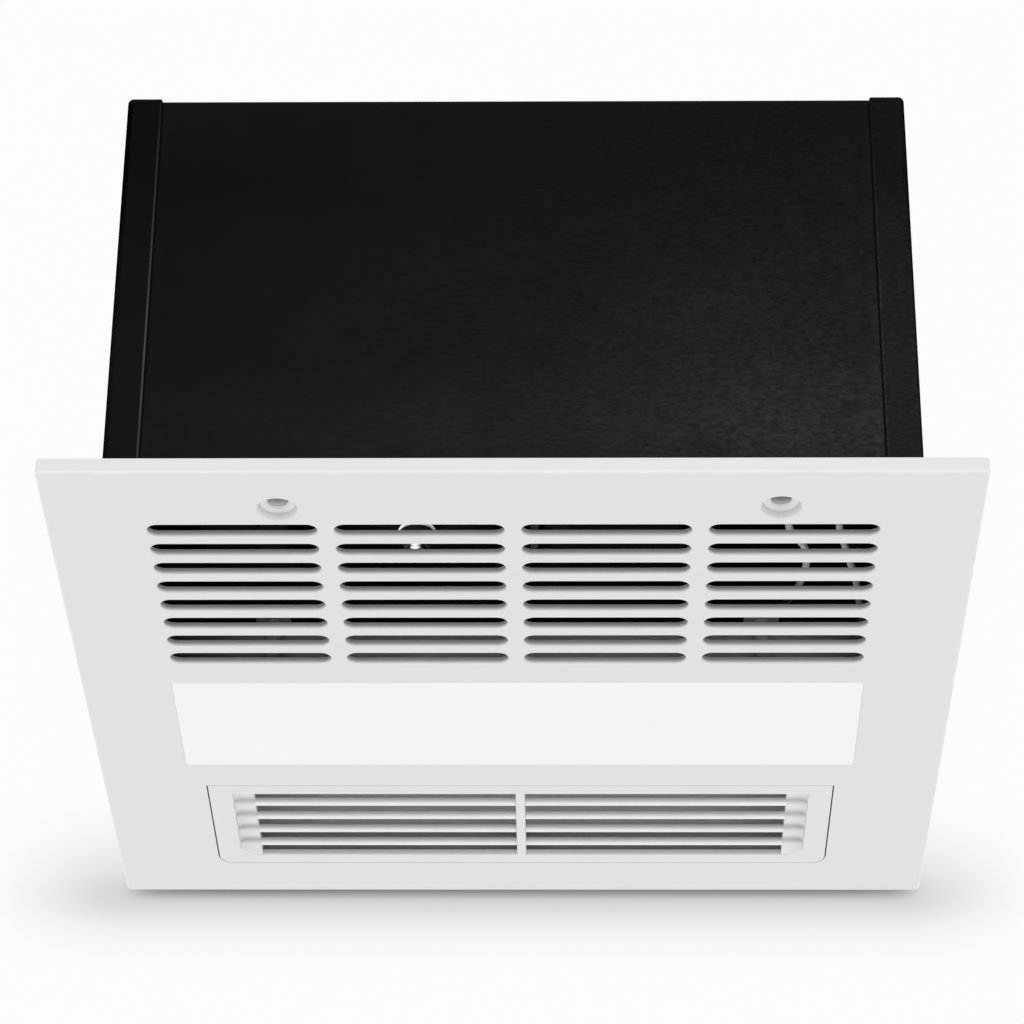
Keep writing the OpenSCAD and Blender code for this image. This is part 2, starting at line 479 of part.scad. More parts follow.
module motor_bearings() color([0.7, 0.71, 0.72]) for (z = [69.5, 150.5]) fan_turn() polygon([
  [shaft_r + run_gap, z], [6.5, z], [6.5, z + 0.4], [9, z + 0.4], [9, z], [11, z], [11, z + 6], [9, z + 6], [9, z + 5.6],
  [6.5, z + 5.6], [6.5, z + 6], [shaft_r + run_gap, z + 6]]);
module stator_core() color([0.5, 0.5, 0.52]) fan_turn() polygon([[20.8, 95], [38.4, 95], [38.4, 127], [20.8, 127]]);
module stator_windings() color([0.72, 0.38, 0.2]) for (z = [84.5, 127.1]) fan_turn() polygon(rr_at(29, z + 5.2, 12, 10.4, 4));
function rr_at(x, z, w, h, r) = [for (p = rr(w, h, r, 4)) [p[0] + x, p[1] + z]];
module motor_grommets() color([0.12, 0.12, 0.12]) for (a = [45:90:315]) difference() {
  rod(on_fan(a, 47), 5, s1 + cover_t, 143.2);
  rod(on_fan(a, 47), 2.2, s1, 144);
}
module motor_screws() color([0.8, 0.8, 0.82]) for (a = [45:90:315]) pan_screw(on_fan(a, 47), 145, 2, 7, 3.6, 2.4);
module run_capacitor() color([0.9, 0.9, 0.9]) translate([40, -40, 0]) union() {
  plate(20, 38, 28, 2, s1 + cover_t);
  for (y = [-8, 8]) box3(-3, 3, y - 0.4, y + 0.4, s1 + cover_t + 28 - e, s1 + cover_t + 34);
}

// ---------------------------------------------------------------- wiring
jx0 = 118; jx1 = hx - sheet; jy0 = -181; jy1 = -120; jz0 = 60; jz1 = 120;
module junction_box() color([0.72, 0.73, 0.74]) difference() {
  box3(jx0, jx1, jy0, jy1, jz0, jz1);
  box3(jx0 + 1, jx1 - 1, jy0 + 1, jy1 - 1, jz0 - 1, jz1 - 1);
  xrod(jx1 - 3, jx1 + 1, inlet_at[0], inlet_at[1], 11);
}
module junction_cover() color([0.72, 0.73, 0.74]) difference() {
  union() {
    box3(jx0, jx1 - 0.5, jy0, jy1, jz0 - 1, jz0);
    box3(jx0 + 12, jx1 - 12, jy1, jy1 + 1, jz0 - 1, jz0 + 12);
  }
  rod([134, -128], 3, jz0 - 2, jz0 + 1);
  rod([152, -128], 3, jz0 - 2, jz0 + 1);
}
module terminal_block() color([0.93, 0.93, 0.9]) difference() {
  union() {
    box3(126, 162, -142, -124, jz1 - 17, jz1 - 1);
    for (i = [0:3]) box3(126 + i * 11.6, 127.2 + i * 11.6, -142, -124, jz1 - 19, jz1 - 1);
  }
  for (i = [0:2]) rod([132.5 + i * 11.6, -137], 2, jz1 - 20, jz1 - 10);
  for (i = [0:2]) rod([132.5 + i * 11.6, -129], 2, jz1 - 20, jz1 - 10);
}
module cable_bushing() color([0.12, 0.12, 0.12]) difference() {
  union() {
    xrod(166, hx + 0.5, inlet_at[0], inlet_at[1], 10.9, 64);
    xrod(hx, hx + 1.5, inlet_at[0], inlet_at[1], 13.5, 64);
    xrod(168.4, jx1 - 1.05, inlet_at[0], inlet_at[1], 12, 64);
  }
  xrod(160, hx + 5, inlet_at[0], inlet_at[1], inlet_r, 64);
}
module earth_screw() color([0.8, 0.65, 0.3]) side_screw(hx - sheet, -105, 70, -1, 1.9, 3, 4, 2.4);
module control_board() color([0.15, 0.35, 0.2]) difference() {
  box3(160, 161.6, -96, 16, 74, 160);
  for (y = [-88, 8], z = [82, 152]) xrod(158, 163, y, z, 1.6);
}
module board_components() color([0.2, 0.2, 0.22]) {
  for (i = [0:3]) box3(144, 160, -92 + i * 17, -79 + i * 17, 88, 108);
  box3(136, 160, -20, 4, 92, 124);
  for (i = [0:2]) xrod(142, 160, -70 + i * 16, 134, 5.5, 24);
  box3(148, 160, -84, -76, 120, 150);
  box3(150, 160, -16, 2, 132, 148);
}
module board_standoffs() color([0.85, 0.85, 0.85]) for (y = [-88, 8], z = [82, 152]) union() {
  xrod(161.6, hx - sheet, y, z, 3, 24);
  xrod(157.6, 161.6 + e, y, z, 1.5, 24);
  xrod(156, 159.9, y, z, 2.6, 24);
}
// A round lead through the given points, smoothed
function cat(p, i, t) = let (n = len(p), a = p[max(i - 1, 0)], b = p[i], c = p[min(i + 1, n - 1)], d = p[min(i + 2, n - 1)])
  0.5 * (2 * b + (c - a) * t + (2 * a - 5 * b + 4 * c - d) * t * t + (3 * b - a - 3 * c + d) * t * t * t);
function path(p, m) = concat([for (i = [0:len(p) - 2]) for (k = [0:m - 1]) cat(p, i, k / m)], [p[len(p) - 1]]);
function unit(v) = v / max(norm(v), 1e-9);
module lead(pts, r, m = 4) {
  q = path(pts, m);
  n = len(q);
  function tan_at(i) = unit(q[min(i + 1, n - 1)] - q[max(i - 1, 0)]);
  function side_at(i) = let (t = tan_at(i), u = abs(t[2]) > 0.9 ? [1, 0, 0] : [0, 0, 1]) unit(cross(t, u));
  polyhedron(
    points = [for (i = [0:n - 1]) let (t = tan_at(i), s = side_at(i), b = cross(t, s)) for (k = [0:7])
      q[i] + r * (cos(45 * k) * s + sin(45 * k) * b)],
    faces = concat([[7, 6, 5, 4, 3, 2, 1, 0]], [[for (k = [0:7]) (n - 1) * 8 + k]],
      [for (i = [0:n - 2]) for (k = [0:7]) [i * 8 + k, i * 8 + (k + 1) % 8, (i + 1) * 8 + (k + 1) % 8, (i + 1) * 8 + k]]));
}
module lead_wires() color([0.92, 0.92, 0.9]) {
  lead([[134, -128, 64], [134, -127.5, 57], [132, -121, 48], [125, -108, 38], [122, -90, 33], [128.5, -73, 32], [130.7, -56, 32],
    [128.8, -38, 32], [124, -23, 32], [121, -10.8, 33]], 1.7);
  lead([[152, -128, 64], [152, -127.5, 57], [150, -120, 47], [145.5, -107, 37], [144.7, -90, 33], [148.3, -73, 32], [152.1, -56, 32],
    [156, -38, 32], [159.5, -20, 33], [161, 10, 36], [161, 45, 42], [161, 80, 50], [161, 108, 56], [161, 124, 58]], 1.7);
}
module fan_leads() color([0.85, 0.85, 0.83]) {
  lead([[-30, -50, 151.7], [-18, -46, 153], [0, -42, 152], [16, -40, 148], [28.2, -40, 150]], 1.3);
  lead([[51.8, -40, 150], [66, -42, 152], [90, -48, 150], [112, -52, 148], [128, -52, 143], [140.2, -54, 136]], 1.3);
}

housing_wrap();
end_plate_left();
end_plate_right();
end_plate_rivets();
front_panel();
panel_screws();
led_lens();
led_tray();
led_board();
led_chips();
led_tray_screws();
tray_spacers();
led_driver();
louvre_well();
well_screws();
outlet_seal();
louvre_motor();
louvre_motor_screws();
outlet_duct();
heater_frame();
ptc_bars();
ptc_fins();
heater_terminals();
heater_screws();
thermal_cutout();
thermal_fuse();
scroll_casing();
scroll_cover();
scroll_screws();
inlet_ring();
hanger_standoffs();
hanger_screws();
motor_can();
motor_bearings();
stator_core();
stator_windings();
motor_grommets();
motor_screws();
run_capacitor();
junction_box();
junction_cover();
terminal_block();
cable_bushing();
earth_screw();
control_board();
board_components();
board_standoffs();
lead_wires();
fan_leads();
blower_wheel();
wheel_hub();
hub_nut();
motor_shaft();
motor_rotor();
louvre_frame();
louvre_slats();
louvre_pivot_pin();
louvre_drive_shaft();
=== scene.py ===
"""Looks of the ceiling mounted fan heater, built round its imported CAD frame.

Metres in Blender, but the pieces' own numbers are written in millimetres, in the part's frame:
+Z up into the ceiling, -Y the side with the intake slots, +Y the side with the outlet louvre.
"""
import json
import math

import bpy
import numpy as np
from mathutils import Matrix, Vector
from mathutils.geometry import delaunay_2d_cdt


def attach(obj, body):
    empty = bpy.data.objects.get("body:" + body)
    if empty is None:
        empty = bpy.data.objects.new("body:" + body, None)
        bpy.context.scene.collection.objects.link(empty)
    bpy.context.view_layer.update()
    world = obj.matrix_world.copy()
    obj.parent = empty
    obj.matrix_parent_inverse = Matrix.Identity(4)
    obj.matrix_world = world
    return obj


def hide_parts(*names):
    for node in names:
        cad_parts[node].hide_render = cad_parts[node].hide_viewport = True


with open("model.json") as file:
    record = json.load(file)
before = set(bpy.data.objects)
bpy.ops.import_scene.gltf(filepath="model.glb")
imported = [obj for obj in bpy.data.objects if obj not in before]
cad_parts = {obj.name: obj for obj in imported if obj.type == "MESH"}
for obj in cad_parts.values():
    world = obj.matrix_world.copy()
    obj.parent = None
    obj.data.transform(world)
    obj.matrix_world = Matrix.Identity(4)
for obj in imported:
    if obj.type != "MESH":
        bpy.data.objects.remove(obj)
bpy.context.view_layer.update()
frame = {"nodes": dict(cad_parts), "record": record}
nodes = frame["nodes"]
scene = bpy.context.scene

# ------------------------------------------------------------------ sizes, in millimetres
FACE = -7.5            # face of the panel
SKIN = -4.5            # back of the panel's skin
HX, HY, HZ = 174.3, 184.0, 201.8   # outside of the housing, end plates included
LENS_Y = 22.6
LV_Y, LV_Z = 126.5, 4.5            # the louvre's pivot line
LW = 150.2             # half length of the louvre
DRUM = 43.2            # radius of the louvre's near and far walls
FAN = (-45.5, -59.0)
SCREWS = [(-99.9, -170.7), (114.0, -171.9)]


# ------------------------------------------------------------------ mesh making
def unit(v):
    v = np.asarray(v, float)
    n = np.linalg.norm(v)
    return v / n if n > 1e-12 else v


class Piece:
    """Gathers faces with a normal at each corner, in millimetres, and welds them into one mesh."""

    def __init__(self, name):
        self.name = name
        self.index = {}
        self.verts = []
        self.faces = []
        self.normals = []
        self.slots = []

    def vid(self, p):
        k = (round(float(p[0]) * 2000), round(float(p[1]) * 2000), round(float(p[2]) * 2000))
        if k not in self.index:
            self.index[k] = len(self.verts)
            self.verts.append((float(p[0]), float(p[1]), float(p[2])))
        return self.index[k]

    def face(self, pts, nrm, mat=0):
        """pts are 3 or 4 corners, nrm one normal for all or one for each. The winding follows the normals."""
        if len(np.shape(nrm)) == 1:
            nrm = [nrm] * len(pts)
        ids, ns = [], []
        for p, n in zip(pts, nrm):
            i = self.vid(p)
            if not ids or (i != ids[-1] and i != ids[0]):
                ids.append(i)
                ns.append(n)
        if len(set(ids)) < 3 or len(set(ids)) != len(ids):
            return
        a, b, c = (np.array(self.verts[i]) for i in ids[:3])
        g = np.cross(b - a, c - a)
        if len(ids) == 4:
            g = g + np.cross(c - a, np.array(self.verts[ids[3]]) - a)
        if np.dot(g, np.sum(ns, axis=0)) < 0:
            ids, ns = ids[::-1], ns[::-1]
        self.faces.append(ids)
        self.normals.append(ns)
        self.slots.append(mat)

    def grid(self, rows, norms, closed=True, mat=0):
        """rows[r][c] is a point and norms[r][c] its normal. closed joins the last column to the first."""
        n = len(rows[0])
        last = n if closed else n - 1
        for r in range(len(rows) - 1):
            p0, p1, n0, n1 = rows[r], rows[r + 1], norms[r], norms[r + 1]
            for c in range(last):
                d = (c + 1) % n
                self.face([p0[c], p0[d], p1[d], p1[c]], [n0[c], n0[d], n1[d], n1[c]], mat)

    def fill(self, loops, place, normal, mat=0):
        """Fills the flat area inside the first loop and outside the others. place turns (u, v) into a point."""
        pts, edges = [], []
        for lp in loops:
            b, n = len(pts), len(lp)
            pts += [Vector((float(u), float(v))) for u, v in lp]
            edges += [(b + i, b + (i + 1) % n) for i in range(n)]
        flat = [(float(u), float(v)) for lp in loops for u, v in lp]
        out, _, tris, orig, _, _ = delaunay_2d_cdt(pts, edges, [], 0, 1e-6)
        co = [flat[orig[i][0]] if orig[i] else (out[i].x, out[i].y) for i in range(len(out))]
        mid = np.array([np.mean([co[i] for i in t], axis=0) for t in tris])
        inside = np.zeros(len(mid), int)
        for lp in loops:
            q = np.array(lp, float)
            r = np.roll(q, -1, axis=0)
            for (x0, y0), (x1, y1) in zip(q, r):
                if y0 == y1:
                    continue
                hit = ((mid[:, 1] > y0) != (mid[:, 1] > y1)) & (mid[:, 0] < (x1 - x0) * (mid[:, 1] - y0) / (y1 - y0) + x0)
                inside += hit
        for t, k in zip(tris, inside):
            if k % 2:
                self.face([place(*co[i]) for i in t], normal, mat)

    def make(self, mats, body, replaces=()):
        me = bpy.data.meshes.new(self.name)
        me.from_pydata([(x * 0.001, y * 0.001, z * 0.001) for x, y, z in self.verts], [], self.faces)
        for m in mats:
            me.materials.append(m)
        me.polygons.foreach_set("material_index", self.slots)
        me.polygons.foreach_set("use_smooth", [True] * len(self.faces))
        me.update()
        me.normals_split_custom_set([tuple(unit(n)) for ns in self.normals for n in ns])
        o = bpy.data.objects.new(self.name, me)
        scene.collection.objects.link(o)
        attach(o, body)
        if replaces:
            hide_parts(*replaces)
        return o


def rounded_rect(x0, x1, y0, y1, r, n=8):
    """Points and outward normals of a rectangle. r is one radius or four: near left, near right, far right, far left."""
    rs = [r] * 4 if np.isscalar(r) else list(r)
    pts, nrm = [], []
    for (cx, cy, a0), q in zip([(x0, y0, 180), (x1, y0, 270), (x1, y1, 0), (x0, y1, 90)], rs):
        sx = 1 if cx == x0 else -1
        sy = 1 if cy == y0 else -1
        for i in range(n + 1):
            a = math.radians(a0 + 90 * i / n)
            pts.append((cx + sx * q + q * math.cos(a), cy + sy * q + q * math.sin(a)))
            nrm.append((math.cos(a), math.sin(a)))
    return pts, nrm


def circle(cx, cy, r, n=48):
    t = [2 * math.pi * i / n for i in range(n)]
    return [(cx + r * math.cos(a), cy + r * math.sin(a)) for a in t], [(math.cos(a), math.sin(a)) for a in t]


def stadium(cx, cy, length, width, n=14):
    r = width / 2
    pts, nrm = [], []
    for s, a0 in ((1, -90), (-1, 90)):
        for i in range(n + 1):
            a = math.radians(a0 + 180 * i / n)
            pts.append((cx + s * (length / 2 - r) + r * math.cos(a), cy + r * math.sin(a)))
            nrm.append((math.cos(a), math.sin(a)))
    return pts, nrm


def fillet(off, z, rx, rz, up=1, n=6):
    """Rows of a convex edge that starts flat at (off - rx, z) and ends upright at (off, z + up * rz).

    Each row is (offset, z, normal along the offset, normal along z)."""
    rows = []
    for i in range(n + 1):
        t = math.pi / 2 * i / n
        nx, nz = rz * math.sin(t), -up * rx * math.cos(t)
        h = math.hypot(nx, nz) or 1
        rows.append((off - rx * (1 - math.sin(t)), z + up * rz * (1 - math.cos(t)), nx / h, nz / h))
    return rows


def ring(piece, pts, nrm, segments, mat=0):
    """Sweeps profile rows round a closed outline. A row's numbers may also be lists with one value for each point."""
    p, n = np.array(pts), np.array(nrm)
    m = len(p)

    def full(v):
        return np.full(m, float(v)) if np.isscalar(v) else np.array(v, float)

    for seg in segments:
        rows, norms = [], []
        for off, z, no, nz in seg:
            off, z, no, nz = full(off), full(z), full(no), full(nz)
            xy = p + n * off[:, None]
            rows.append(np.column_stack([xy, z]))
            norms.append(np.column_stack([n * no[:, None], nz]))
        piece.grid(rows, norms, True, mat)


def shifted(pts, nrm, off):
    p, n = np.array(pts), np.array(nrm)
    off = np.full(len(p), float(off)) if np.isscalar(off) else np.array(off, float)
    return (p + n * off[:, None]).tolist()


def revolve(piece, profile, place, n=48, mat=0):
    """profile is segments of rows (radius, height, normal out, normal up); place turns (u, v, w) into a point, and
    place(u, v, w, True) turns a direction."""
    for seg in profile:
        rows, norms = [], []
        for r, h, nr, nh in seg:
            a = [2 * math.pi * i / n for i in range(n)]
            rows.append([place(r * math.cos(t), r * math.sin(t), h, False) for t in a])
            norms.append([place(nr * math.cos(t), nr * math.sin(t), nh, True) for t in a])
        piece.grid(rows, norms, True, mat)


def smooth_profile(points):
    """Rows (radius, height, normal out, normal up) through the points, with averaged normals, for a lathe outline that
    runs with its outside on the left."""
    p = [np.array(q, float) for q in points]
    out = []
    for i, q in enumerate(p):
        t = unit(p[min(i + 1, len(p) - 1)] - p[max(i - 1, 0)])
        out.append((q[0], q[1], -t[1], t[0]))
    return out


# ------------------------------------------------------------------ materials
def new_material(name):
    m = bpy.data.materials.new(name)
    m.use_nodes = True
    t = m.node_tree
    t.nodes.clear()
    out = t.nodes.new("ShaderNodeOutputMaterial")
    bsdf = t.nodes.new("ShaderNodeBsdfPrincipled")
    t.links.new(bsdf.outputs["BSDF"], out.inputs["Surface"])
    co = t.nodes.new("ShaderNodeTexCoord")
    return m, t, bsdf, co.outputs["Object"]


def noise(t, co, scale, detail=4.0, rough=0.5, stretch=None):
    if stretch:
        mp = t.nodes.new("ShaderNodeMapping")
        mp.inputs["Scale"].default_value = stretch
        t.links.new(co, mp.inputs["Vector"])
        co = mp.outputs["Vector"]
    n = t.nodes.new("ShaderNodeTexNoise")
    n.inputs["Scale"].default_value = scale
    n.inputs["Detail"].default_value = detail
    n.inputs["Roughness"].default_value = rough
    t.links.new(co, n.inputs["Vector"])
    return n.outputs["Fac"]


def ramp(t, fac, stops):
    r = t.nodes.new("ShaderNodeValToRGB")
    e = r.color_ramp.elements
    while len(e) < len(stops):
        e.new(0.5)
    for el, (pos, col) in zip(e, stops):
        el.position = pos
        el.color = (*col, 1) if len(np.shape(col)) else (col, col, col, 1)
    t.links.new(fac, r.inputs["Fac"])
    return r.outputs["Color"]


def span(t, fac, lo, hi, a=0.0, b=1.0):
    r = t.nodes.new("ShaderNodeMapRange")
    r.inputs["From Min"].default_value = a
    r.inputs["From Max"].default_value = b
    r.inputs["To Min"].default_value = lo
    r.inputs["To Max"].default_value = hi
    t.links.new(fac, r.inputs["Value"])
    return r.outputs["Result"]


def math_node(t, op, a, b):
    m = t.nodes.new("ShaderNodeMath")
    m.operation = op
    for i, v in enumerate((a, b)):
        if isinstance(v, (int, float)):
            m.inputs[i].default_value = v
        else:
            t.links.new(v, m.inputs[i])
    return m.outputs["Value"]


def bump(t, bsdf, height, strength, distance, prev=None):
    b = t.nodes.new("ShaderNodeBump")
    b.inputs["Strength"].default_value = strength
    b.inputs["Distance"].default_value = distance
    t.links.new(height, b.inputs["Height"])
    if prev is not None:
        t.links.new(prev, b.inputs["Normal"])
    t.links.new(b.outputs["Normal"], bsdf.inputs["Normal"])
    return b.outputs["Normal"]


def moulded_white(name, lo, hi, rough=0.5, spec=0.3, grain=0.06):
    """Satin moulded plastic with a fine spark-eroded grain and a faint flow mottle."""
    m, t, b, co = new_material(name)
    t.links.new(ramp(t, noise(t, co, 14, 3), [(0.3, lo), (0.7, hi)]), b.inputs["Base Color"])
    t.links.new(span(t, noise(t, co, 900, 2), rough - 0.06, rough + 0.06), b.inputs["Roughness"])
    b.inputs["Specular IOR Level"].default_value = spec
    bump(t, b, noise(t, co, 2600, 3, 0.6), grain, 0.00012)
    return m


def painted_shade_map(t, co, axis_stops, side=165.0):
    """Painted shade and sheen: a tone that changes with the height and from left to right, standing in for how the
    light falls on the coat. axis_stops are (height in mm, value at the left, value at the right)."""
    sep = t.nodes.new("ShaderNodeSeparateXYZ")
    t.links.new(co, sep.inputs[0])
    high = span(t, sep.outputs["Z"], 0.0, 1.0, 0.0, 0.202)
    left = ramp(t, high, [(z / 202.0, a) for z, a, b in axis_stops])
    right = ramp(t, high, [(z / 202.0, b) for z, a, b in axis_stops])
    mix = t.nodes.new("ShaderNodeMix")
    mix.data_type = "RGBA"
    t.links.new(span(t, sep.outputs["X"], 0.0, 1.0, -side / 1000, side / 1000), mix.inputs[0])
    t.links.new(left, mix.inputs[6])
    t.links.new(right, mix.inputs[7])
    across = math_node(t, "ABSOLUTE", sep.outputs["X"], 0.0)
    return mix.outputs[2], across


def scale_colour(t, col, *facs):
    for f in facs:
        v = t.nodes.new("ShaderNodeVectorMath")
        v.operation = "SCALE"
        t.links.new(col, v.inputs[0])
        t.links.new(f, v.inputs["Scale"])
        col = v.outputs[0]
    return col


def powder_black(name, stops, spec=0.04, edge=None, gain=1.0):
    """Semi-matt black powder coat with a fine wrinkle. edge are stops of a factor over the distance from the middle, in
    mm, for painted shade and highlight along a joint or at a bend."""
    m, t, b, co = new_material(name)
    tone, across = painted_shade_map(t, co, [(z, a * gain * 2, c * gain * 2) for z, a, c in stops])
    wrinkle = noise(t, co, 620, 5, 0.62, stretch=(0.55, 1.0, 1.25))
    sep = t.nodes.new("ShaderNodeSeparateXYZ")
    t.links.new(co, sep.inputs[0])
    # painted sheen: the wrinkle's colour contrast grows towards the right
    sheen_wrinkle_gain = span(t, sep.outputs["X"], 0.35, 1.35, -0.12, 0.12)
    fine = math_node(t, "MULTIPLY", span(t, wrinkle, -0.45, 0.45, 0.3, 0.7), sheen_wrinkle_gain)
    facs = [math_node(t, "ADD", fine, 1.0), span(t, noise(t, co, 45, 3), 0.90, 1.10, 0.3, 0.7)]
    # painted sheen: the coat is lighter round x = 92 mm, about 65 mm up, low on the right of the near wall
    d = t.nodes.new("ShaderNodeVectorMath")
    d.operation = "DISTANCE"
    flat = t.nodes.new("ShaderNodeVectorMath")
    flat.operation = "MULTIPLY"
    flat.inputs[1].default_value = (1.0, 0.0, 1.15)
    t.links.new(co, flat.inputs[0])
    t.links.new(flat.outputs[0], d.inputs[0])
    d.inputs[1].default_value = (0.092, 0.0, 0.075)
    facs.append(ramp(t, span(t, d.outputs["Value"], 0.0, 1.0, 0.0, 0.10), [(0.0, 0.68), (0.25, 0.66), (0.6, 0.55), (1.0, 0.5)]))
    # painted shade and highlight along a joint or a bend
    if edge:
        lo, hi = edge[0][0], edge[-1][0]
        r = ramp(t, span(t, across, 0.0, 1.0, lo / 1000, hi / 1000), [((x - lo) / (hi - lo), v / 2) for x, v in edge])
        facs.append(math_node(t, "MULTIPLY", r, 2.0))
    t.links.new(scale_colour(t, tone, *facs), b.inputs["Base Color"])
    t.links.new(span(t, wrinkle, 0.46, 0.66, 0.3, 0.7), b.inputs["Roughness"])
    b.inputs["Specular IOR Level"].default_value = spec
    n1 = bump(t, b, noise(t, co, 38, 2, 0.4), 0.12, 0.0012)
    bump(t, b, wrinkle, 0.55, 0.00035, n1)
    return m


def slot_wall(name, stops, rough=0.5, side=None):
    """The panel's plastic inside an opening, with painted light and shade by height, mostly darker the deeper it lies.
    stops are (height in mm, value), and side are stops of a factor over the distance from the middle, in mm."""
    m, t, b, co = new_material(name)
    sep = t.nodes.new("ShaderNodeSeparateXYZ")
    t.links.new(co, sep.inputs[0])
    lo, hi = stops[0][0], stops[-1][0]
    tone = ramp(t, span(t, sep.outputs["Z"], 0.0, 1.0, lo / 1000, hi / 1000), [((z - lo) / (hi - lo), v) for z, v in stops])
    facs = [span(t, noise(t, co, 60, 3), 0.97, 1.03, 0.3, 0.7)]
    if side:
        lo, hi = side[0][0], side[-1][0]
        across = math_node(t, "ABSOLUTE", sep.outputs["X"], 0.0)
        facs.append(ramp(t, span(t, across, 0.0, 1.0, lo / 1000, hi / 1000), [((x - lo) / (hi - lo), v) for x, v in side]))
    t.links.new(scale_colour(t, tone, *facs), b.inputs["Base Color"])
    t.links.new(span(t, noise(t, co, 900, 2), rough - 0.06, rough + 0.06), b.inputs["Roughness"])
    b.inputs["Specular IOR Level"].default_value = 0.2
    bump(t, b, noise(t, co, 2600, 3, 0.6), 0.06, 0.00012)
    return m


def tray_steel(name):
    """Pressed sheet in thin grey primer, with painted light and shade: darker on the ears towards the tray's wall and
    low on the near side where the posts stand, and a tone that rises and falls with height and along X.
    """
    m, t, b, co = new_material(name)
    sep = t.nodes.new("ShaderNodeSeparateXYZ")
    t.links.new(co, sep.inputs[0])
    # painted shade on the ears: darker from y = -32.5 to -30.5 mm, towards the tray's wall
    ear = math_node(t, "MULTIPLY", math_node(t, "GREATER_THAN", sep.outputs["Z"], 0.0195), math_node(t, "LESS_THAN", sep.outputs["Y"], -0.0225))
    inner = math_node(t, "MULTIPLY", ear, span(t, sep.outputs["Y"], 0.0, 1.0, -0.0325, -0.0305))
    v = span(t, noise(t, co, 200, 5, 0.6, (0.1, 1, 1)), 0.46, 0.54, 0.3, 0.7)
    v = math_node(t, "MULTIPLY", v, span(t, inner, 1.0, 0.30))
    # painted light and shade: the tone changes with height (rise) and along X (along), as the light through the slots
    # falls off
    rise = ramp(t, span(t, sep.outputs["Z"], 0.0, 1.0, -0.005, 0.021), [(0.0, 1.28), (0.25, 1.25), (0.40, 1.05), (0.72, 0.66), (0.9, 0.60), (0.97, 1.0)])
    along = ramp(t, span(t, sep.outputs["X"], 0.0, 1.0, -0.162, 0.162), [(0.0, 0.12), (0.08, 0.34), (0.22, 0.66), (0.36, 0.82), (0.60, 0.95), (0.80, 0.85), (0.91, 0.66), (1.0, 0.30)])
    v = math_node(t, "MULTIPLY", math_node(t, "MULTIPLY", v, 1.85), math_node(t, "MULTIPLY", rise, along))
    # painted shade: darker below 19.9 mm on the near side, where the posts stand
    post = math_node(t, "MULTIPLY", math_node(t, "LESS_THAN", sep.outputs["Z"], 0.0199), math_node(t, "LESS_THAN", sep.outputs["Y"], -0.0216))
    v = math_node(t, "MULTIPLY", v, span(t, post, 1.0, 0.55))
    t.links.new(v, b.inputs["Base Color"])
    t.links.new(span(t, noise(t, co, 300, 3), 0.38, 0.5), b.inputs["Roughness"])
    b.inputs["Specular IOR Level"].default_value = 0.3
    bump(t, b, noise(t, co, 1500, 3, 0.6), 0.1, 0.00008)
    return m


def lead_white(name):
    """Silicone sleeve; left of x = 140 mm it turns darker from y = -56 to -30 mm."""
    m, t, b, co = new_material(name)
    sep = t.nodes.new("ShaderNodeSeparateXYZ")
    t.links.new(co, sep.inputs[0])
    left = math_node(t, "LESS_THAN", sep.outputs["X"], 0.140)
    fade = math_node(t, "MULTIPLY", left, span(t, sep.outputs["Y"], 0.0, 0.93, -0.056, -0.030))
    v = math_node(t, "MULTIPLY", span(t, noise(t, co, 60, 4), 0.76, 0.84, 0.3, 0.7), math_node(t, "SUBTRACT", 1.0, fade))
    t.links.new(v, b.inputs["Base Color"])
    t.links.new(span(t, noise(t, co, 700, 3), 0.36, 0.5), b.inputs["Roughness"])
    b.inputs["Specular IOR Level"].default_value = 0.4
    bump(t, b, noise(t, co, 1800, 3, 0.6), 0.1, 0.0001)
    return m


def duct_enamel(name):
    """Outlet duct: heat proof light grey enamel inside, thin black primer outside."""
    m, t, b, co = new_material(name)
    sep = t.nodes.new("ShaderNodeSeparateXYZ")
    t.links.new(co, sep.inputs[0])
    near = math_node(t, "GREATER_THAN", sep.outputs["Y"], 0.0385)
    wide = math_node(t, "LESS_THAN", math_node(t, "ABSOLUTE", sep.outputs["X"], 0.0), 0.1515)
    low = math_node(t, "LESS_THAN", sep.outputs["Z"], 0.1405)
    inside = math_node(t, "MULTIPLY", math_node(t, "MULTIPLY", near, wide), low)
    v = span(t, noise(t, co, 30, 4), 0.70, 0.78, 0.3, 0.7)
    v = math_node(t, "ADD", math_node(t, "MULTIPLY", v, inside), 0.012)
    t.links.new(v, b.inputs["Base Color"])
    t.links.new(span(t, noise(t, co, 400, 3), 0.42, 0.56), b.inputs["Roughness"])
    b.inputs["Specular IOR Level"].default_value = 0.25
    bump(t, b, noise(t, co, 1500, 3), 0.1, 0.00008)
    return m


def metal(name, lo, hi, rough=(0.3, 0.45), metallic=1.0, scale=60, stretch=None, grain=0.1, spangle=False, spec=0.5):
    m, t, b, co = new_material(name)
    if spangle:
        v = t.nodes.new("ShaderNodeTexVoronoi")
        v.inputs["Scale"].default_value = scale
        t.links.new(co, v.inputs["Vector"])
        fac = math_node(t, "MULTIPLY", v.outputs["Color"], 1.0)
    else:
        fac = noise(t, co, scale, 5, 0.6, stretch)
    t.links.new(ramp(t, fac, [(0.25, lo), (0.75, hi)]), b.inputs["Base Color"])
    t.links.new(span(t, fac, rough[0], rough[1], 0.3, 0.7), b.inputs["Roughness"])
    b.inputs["Metallic"].default_value = metallic
    b.inputs["Specular IOR Level"].default_value = spec
    bump(t, b, noise(t, co, 1500, 3, 0.6, stretch), grain, 0.00008)
    return m


